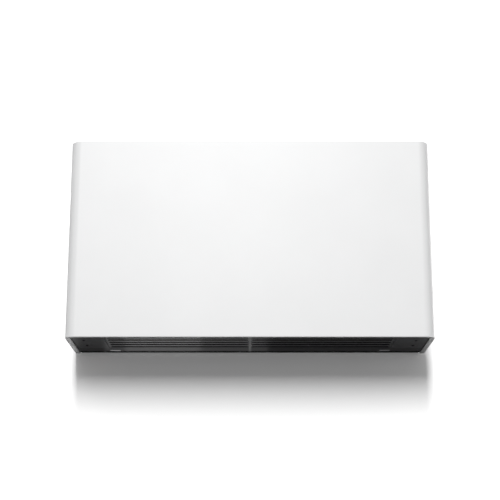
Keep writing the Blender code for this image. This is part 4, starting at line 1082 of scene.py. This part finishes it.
# ---------------------------------------------------------------- fasteners
def make_fasteners():
    """Screws and rivets where the sheets are fixed to each other."""
    tray_z = BOTTOM + 4 * MM
    heads = [(side * 545 * MM, y * MM, tray_z) for side in (-1, 1) for y in (-200, -120)]
    screw_group("tray_screws", "z", -1, heads, 4.4 * MM, "black")
    top_z = span("top_grille")[1].z
    heads = [(side * 572 * MM, y * MM, top_z) for side in (-1, 1) for y in (-235, -138, -40)]
    screw_group("grille_screws", "z", 1, heads, 4 * MM, "dull_zinc")
    for word, side in SIDES:
        low, high = span(f"chassis_end_{word}")
        face = high.x if side > 0 else low.x
        heads = [(face, y * MM, BOTTOM + z * MM) for y in (-235, -60) for z in (90, 340, 590)]
        screw_group(f"end_screws_{word}", "x", side, heads)
        heads = [(side * 571 * MM, low.y, BOTTOM + z * MM) for z in (100, 200, 300, 400, 500)]
        rivet_group(f"end_rivets_{word}", "y", -1, heads)
    for rail, step in (("upper_rail", 140), ("lower_rail", 210)):
        front, z = span(rail)[0].y, middle_of(rail)[2]
        heads = [(x * MM, front, z) for x in range(-420, 421, step)]
        rivet_group(f"{rail}_rivets", "y", -1, heads)
    deck_top = span("fan_deck")[1].z
    cradle_low, cradle_high = span("motor_cradle")
    ys = (cradle_low.y + 12 * MM, cradle_high.y - 12 * MM)
    screw_group("cradle_screws", "z", 1, [(x * MM, y, deck_top) for x in (-15, 15) for y in ys], 4.4 * MM)


# ---------------------------------------------------------------- CAD nodes that stay
def pairs(*parts):
    """The left and right node of each part."""
    return [f"{part}_{word}" for part in parts for word, _ in SIDES]


KEPT = {
    "galvanised": (
        "wall_bracket", "hanger_rail", "upper_rail", "lower_rail", "fan_deck", "motor_cradle",
        *pairs("chassis_end", "chamber_wall", "latch_plate", "coil_end"),
    ),
    "zinc": ("hinge_rod", *pairs("catch_stud")),
    "dull_zinc": pairs("door_stop"),
    "black_plastic": (
        "cable_gland",
        *pairs("door_latch", "catch_clip", "filter_frame"),
    ),
    "steel": ("motor_shaft",),
    "brass": ("bleed_valve",),
    "black": ("bottom_tray", "top_grille"),
    "grey_bar": ("centre_bar",),
    "grey_plastic": ("control_box", "control_box_cover"),
    "board": ("circuit_board",),
    "white_plastic": ("terminal_block", "run_capacitor"),
}


def dress_kept_nodes():
    """A finish and softened edges for each CAD node that still shows."""
    for look, names in KEPT.items():
        slot, material = LOOKS[look]
        for name in names:
            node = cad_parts[name]
            node.data.materials.clear()
            node.data.materials.append(material)
            node.modifiers.new("weld", "WELD").merge_threshold = 1e-5
            softening = node.modifiers.new("edge_softening", "BEVEL")
            softening.width = 0.35 * MM
            softening.segments = 2
            softening.limit_method = "ANGLE"
            softening.angle_limit = math.radians(40)


# ---------------------------------------------------------------- stage, light and camera
WORLD_LOW, WORLD_HIGH = 0.04, 0.34  # the studio's brightness from below and from above
FLOOR_DROP = 1.4  # the floor below the heater's underside
STAGE_REACH = 5.0
STAGE_GLOW = 0.12


def stage_paint(name):
    """A plain pale surface, clear from behind, so that views from there show the object."""
    made = bpy.data.materials.new(name)
    made.use_nodes = True
    tree = made.node_tree
    shader = tree.nodes["Principled BSDF"]
    for key, value in (
        ("Base Color", (1.2, 1.2, 1.2, 1.0)),
        ("Roughness", 0.9),
        ("Specular IOR Level", 0.0),
        ("Emission Color", (1.0, 1.0, 1.0, 1.0)),
        ("Emission Strength", STAGE_GLOW),
    ):
        shader.inputs[key].default_value = value
    clear = add_node(tree, "ShaderNodeBsdfTransparent")
    geometry = add_node(tree, "ShaderNodeNewGeometry")
    mix = add_node(tree, "ShaderNodeMixShader")
    tree.links.new(geometry.outputs["Backfacing"], mix.inputs["Fac"])
    tree.links.new(shader.outputs["BSDF"], mix.inputs[1])
    tree.links.new(clear.outputs["BSDF"], mix.inputs[2])
    tree.links.new(mix.outputs["Shader"], tree.nodes["Material Output"].inputs["Surface"])
    return made


def make_stage():
    floor_z, reach = BOTTOM - FLOOR_DROP, STAGE_REACH
    ends = ((-reach, WALL), (reach, WALL))
    wall = [(*ends[0], floor_z), (*ends[1], floor_z), (*ends[1], floor_z + reach), (*ends[0], floor_z + reach)]
    floor = [(x, y, floor_z) for x, y in rectangle((-reach, -reach), (reach, reach))]
    for name, corners in (("stage_wall", wall), ("stage_floor", floor)):
        mesh = bpy.data.meshes.new(name)
        mesh.from_pydata(corners, [], [range(4)])
        made = new_object(name, mesh)
        mesh.materials.append(stage_paint(name + "_paint"))
        made.visible_shadow = False
        made.visible_diffuse = False


def area_light(name, location, target, size, power):
    light = bpy.data.lights.new(name, "AREA")
    light.shape = "RECTANGLE"
    light.size, light.size_y = size
    light.energy = power
    made = new_object(name, light)
    made.location = location
    aim = Vector(target) - Vector(location)
    made.rotation_mode = "QUATERNION"
    made.rotation_quaternion = aim.to_track_quat("-Z", "Y")
    made.visible_camera = False


def make_lights():
    """The photographer's lamps, and two cards under the heater that its blades mirror."""
    middle = Vector((0, FRONT, (BOTTOM + TOP) / 2))
    area_light("key", (-0.4, -12.0, 6.1), middle, (1.6, 6.9), 1620)
    area_light("top_left_soft", (-1.5, -1.9, 1.7), (-0.35, FRONT, 0.0), (0.9, 0.9), 4.5)
    area_light("low_left_fill", (-2.6, -1.3, BOTTOM - 0.75), (0, FRONT / 2, BOTTOM), (0.7, 0.7), 0.6)
    area_light("right_soft", (2.2, -3.0, -0.4), (0.4, FRONT, -0.3), (0.8, 0.8), 4.0)
    area_light("right_fill", (2.6, 1.9, 0.4), (0.6, FRONT / 2, -0.2), (1.4, 1.4), 42)
    for name, x, width, power in (("underside_card", -0.30, 0.26, 0.26), ("underside_wide_card", -0.22, 0.56, 0.22)):
        target = (x, -1.0, BOTTOM + 0.04)
        area_light(name, (x, WALL - 12 * MM, BOTTOM - 0.10), target, (width, 0.18), power)
    area_light("back_fill", (-1.6, 3.4, 1.6), middle, (2.2, 2.2), 60)


def make_world():
    """A studio that is brighter above than below, and plain white to the camera."""
    world = bpy.data.worlds.new("studio")
    world.use_nodes = True
    tree = world.node_tree
    background = tree.nodes["Background"]
    background.inputs["Color"].default_value = (1.0, 1.0, 1.0, 1.0)
    coords = add_node(tree, "ShaderNodeTexCoord")
    split = add_node(tree, "ShaderNodeSeparateXYZ")
    limits = {"From Min": -0.3, "From Max": 0.5, "To Min": WORLD_LOW, "To Max": WORLD_HIGH}
    dome = add_node(tree, "ShaderNodeMapRange", limits)
    path = add_node(tree, "ShaderNodeLightPath")
    pick = add_node(tree, "ShaderNodeMix", {"B": 1.0})
    for output, socket in (
        (coords.outputs["Generated"], split.inputs["Vector"]),
        (split.outputs["Z"], dome.inputs["Value"]),
        (path.outputs["Is Camera Ray"], pick.inputs["Factor"]),
        (dome.outputs["Result"], pick.inputs["A"]),
        (pick.outputs["Result"], background.inputs["Strength"]),
    ):
        tree.links.new(output, socket)
    bpy.context.scene.world = world
    bpy.context.scene.view_settings.view_transform = "Standard"


CAMERA_DISTANCE = 3.667  # in front of the casing's face
CAMERA_DROP = 0.782  # below the casing's bottom edge
CAMERA_TILT_DEG = 13.86
CAMERA_LENS = 83.9
CAMERA_SHIFT = 0.1


def make_camera():
    data = bpy.data.cameras.new("photo_camera")
    data.lens = CAMERA_LENS
    data.sensor_width = 36.0
    data.shift_y = CAMERA_SHIFT
    made = new_object("photo_camera", data)
    made.location = (0.0, FRONT - CAMERA_DISTANCE, BOTTOM - CAMERA_DROP)
    made.rotation_euler = (math.radians(90 + CAMERA_TILT_DEG), 0.0, 0.0)
    bpy.context.scene.camera = made


# ---------------------------------------------------------------- the whole object
make_camera()
make_stage()
make_lights()
make_world()
make_casing()
make_liner()
make_back_plate()
for word, side in SIDES:
    make_door(word, side)
    make_pleated_medium(word)
    make_wheel(word)
    make_housing(word)
make_motor()
make_fins()
make_coil()
make_pipework()
make_board_parts()
make_cover_details()
make_cables()
make_fasteners()
dress_kept_nodes()
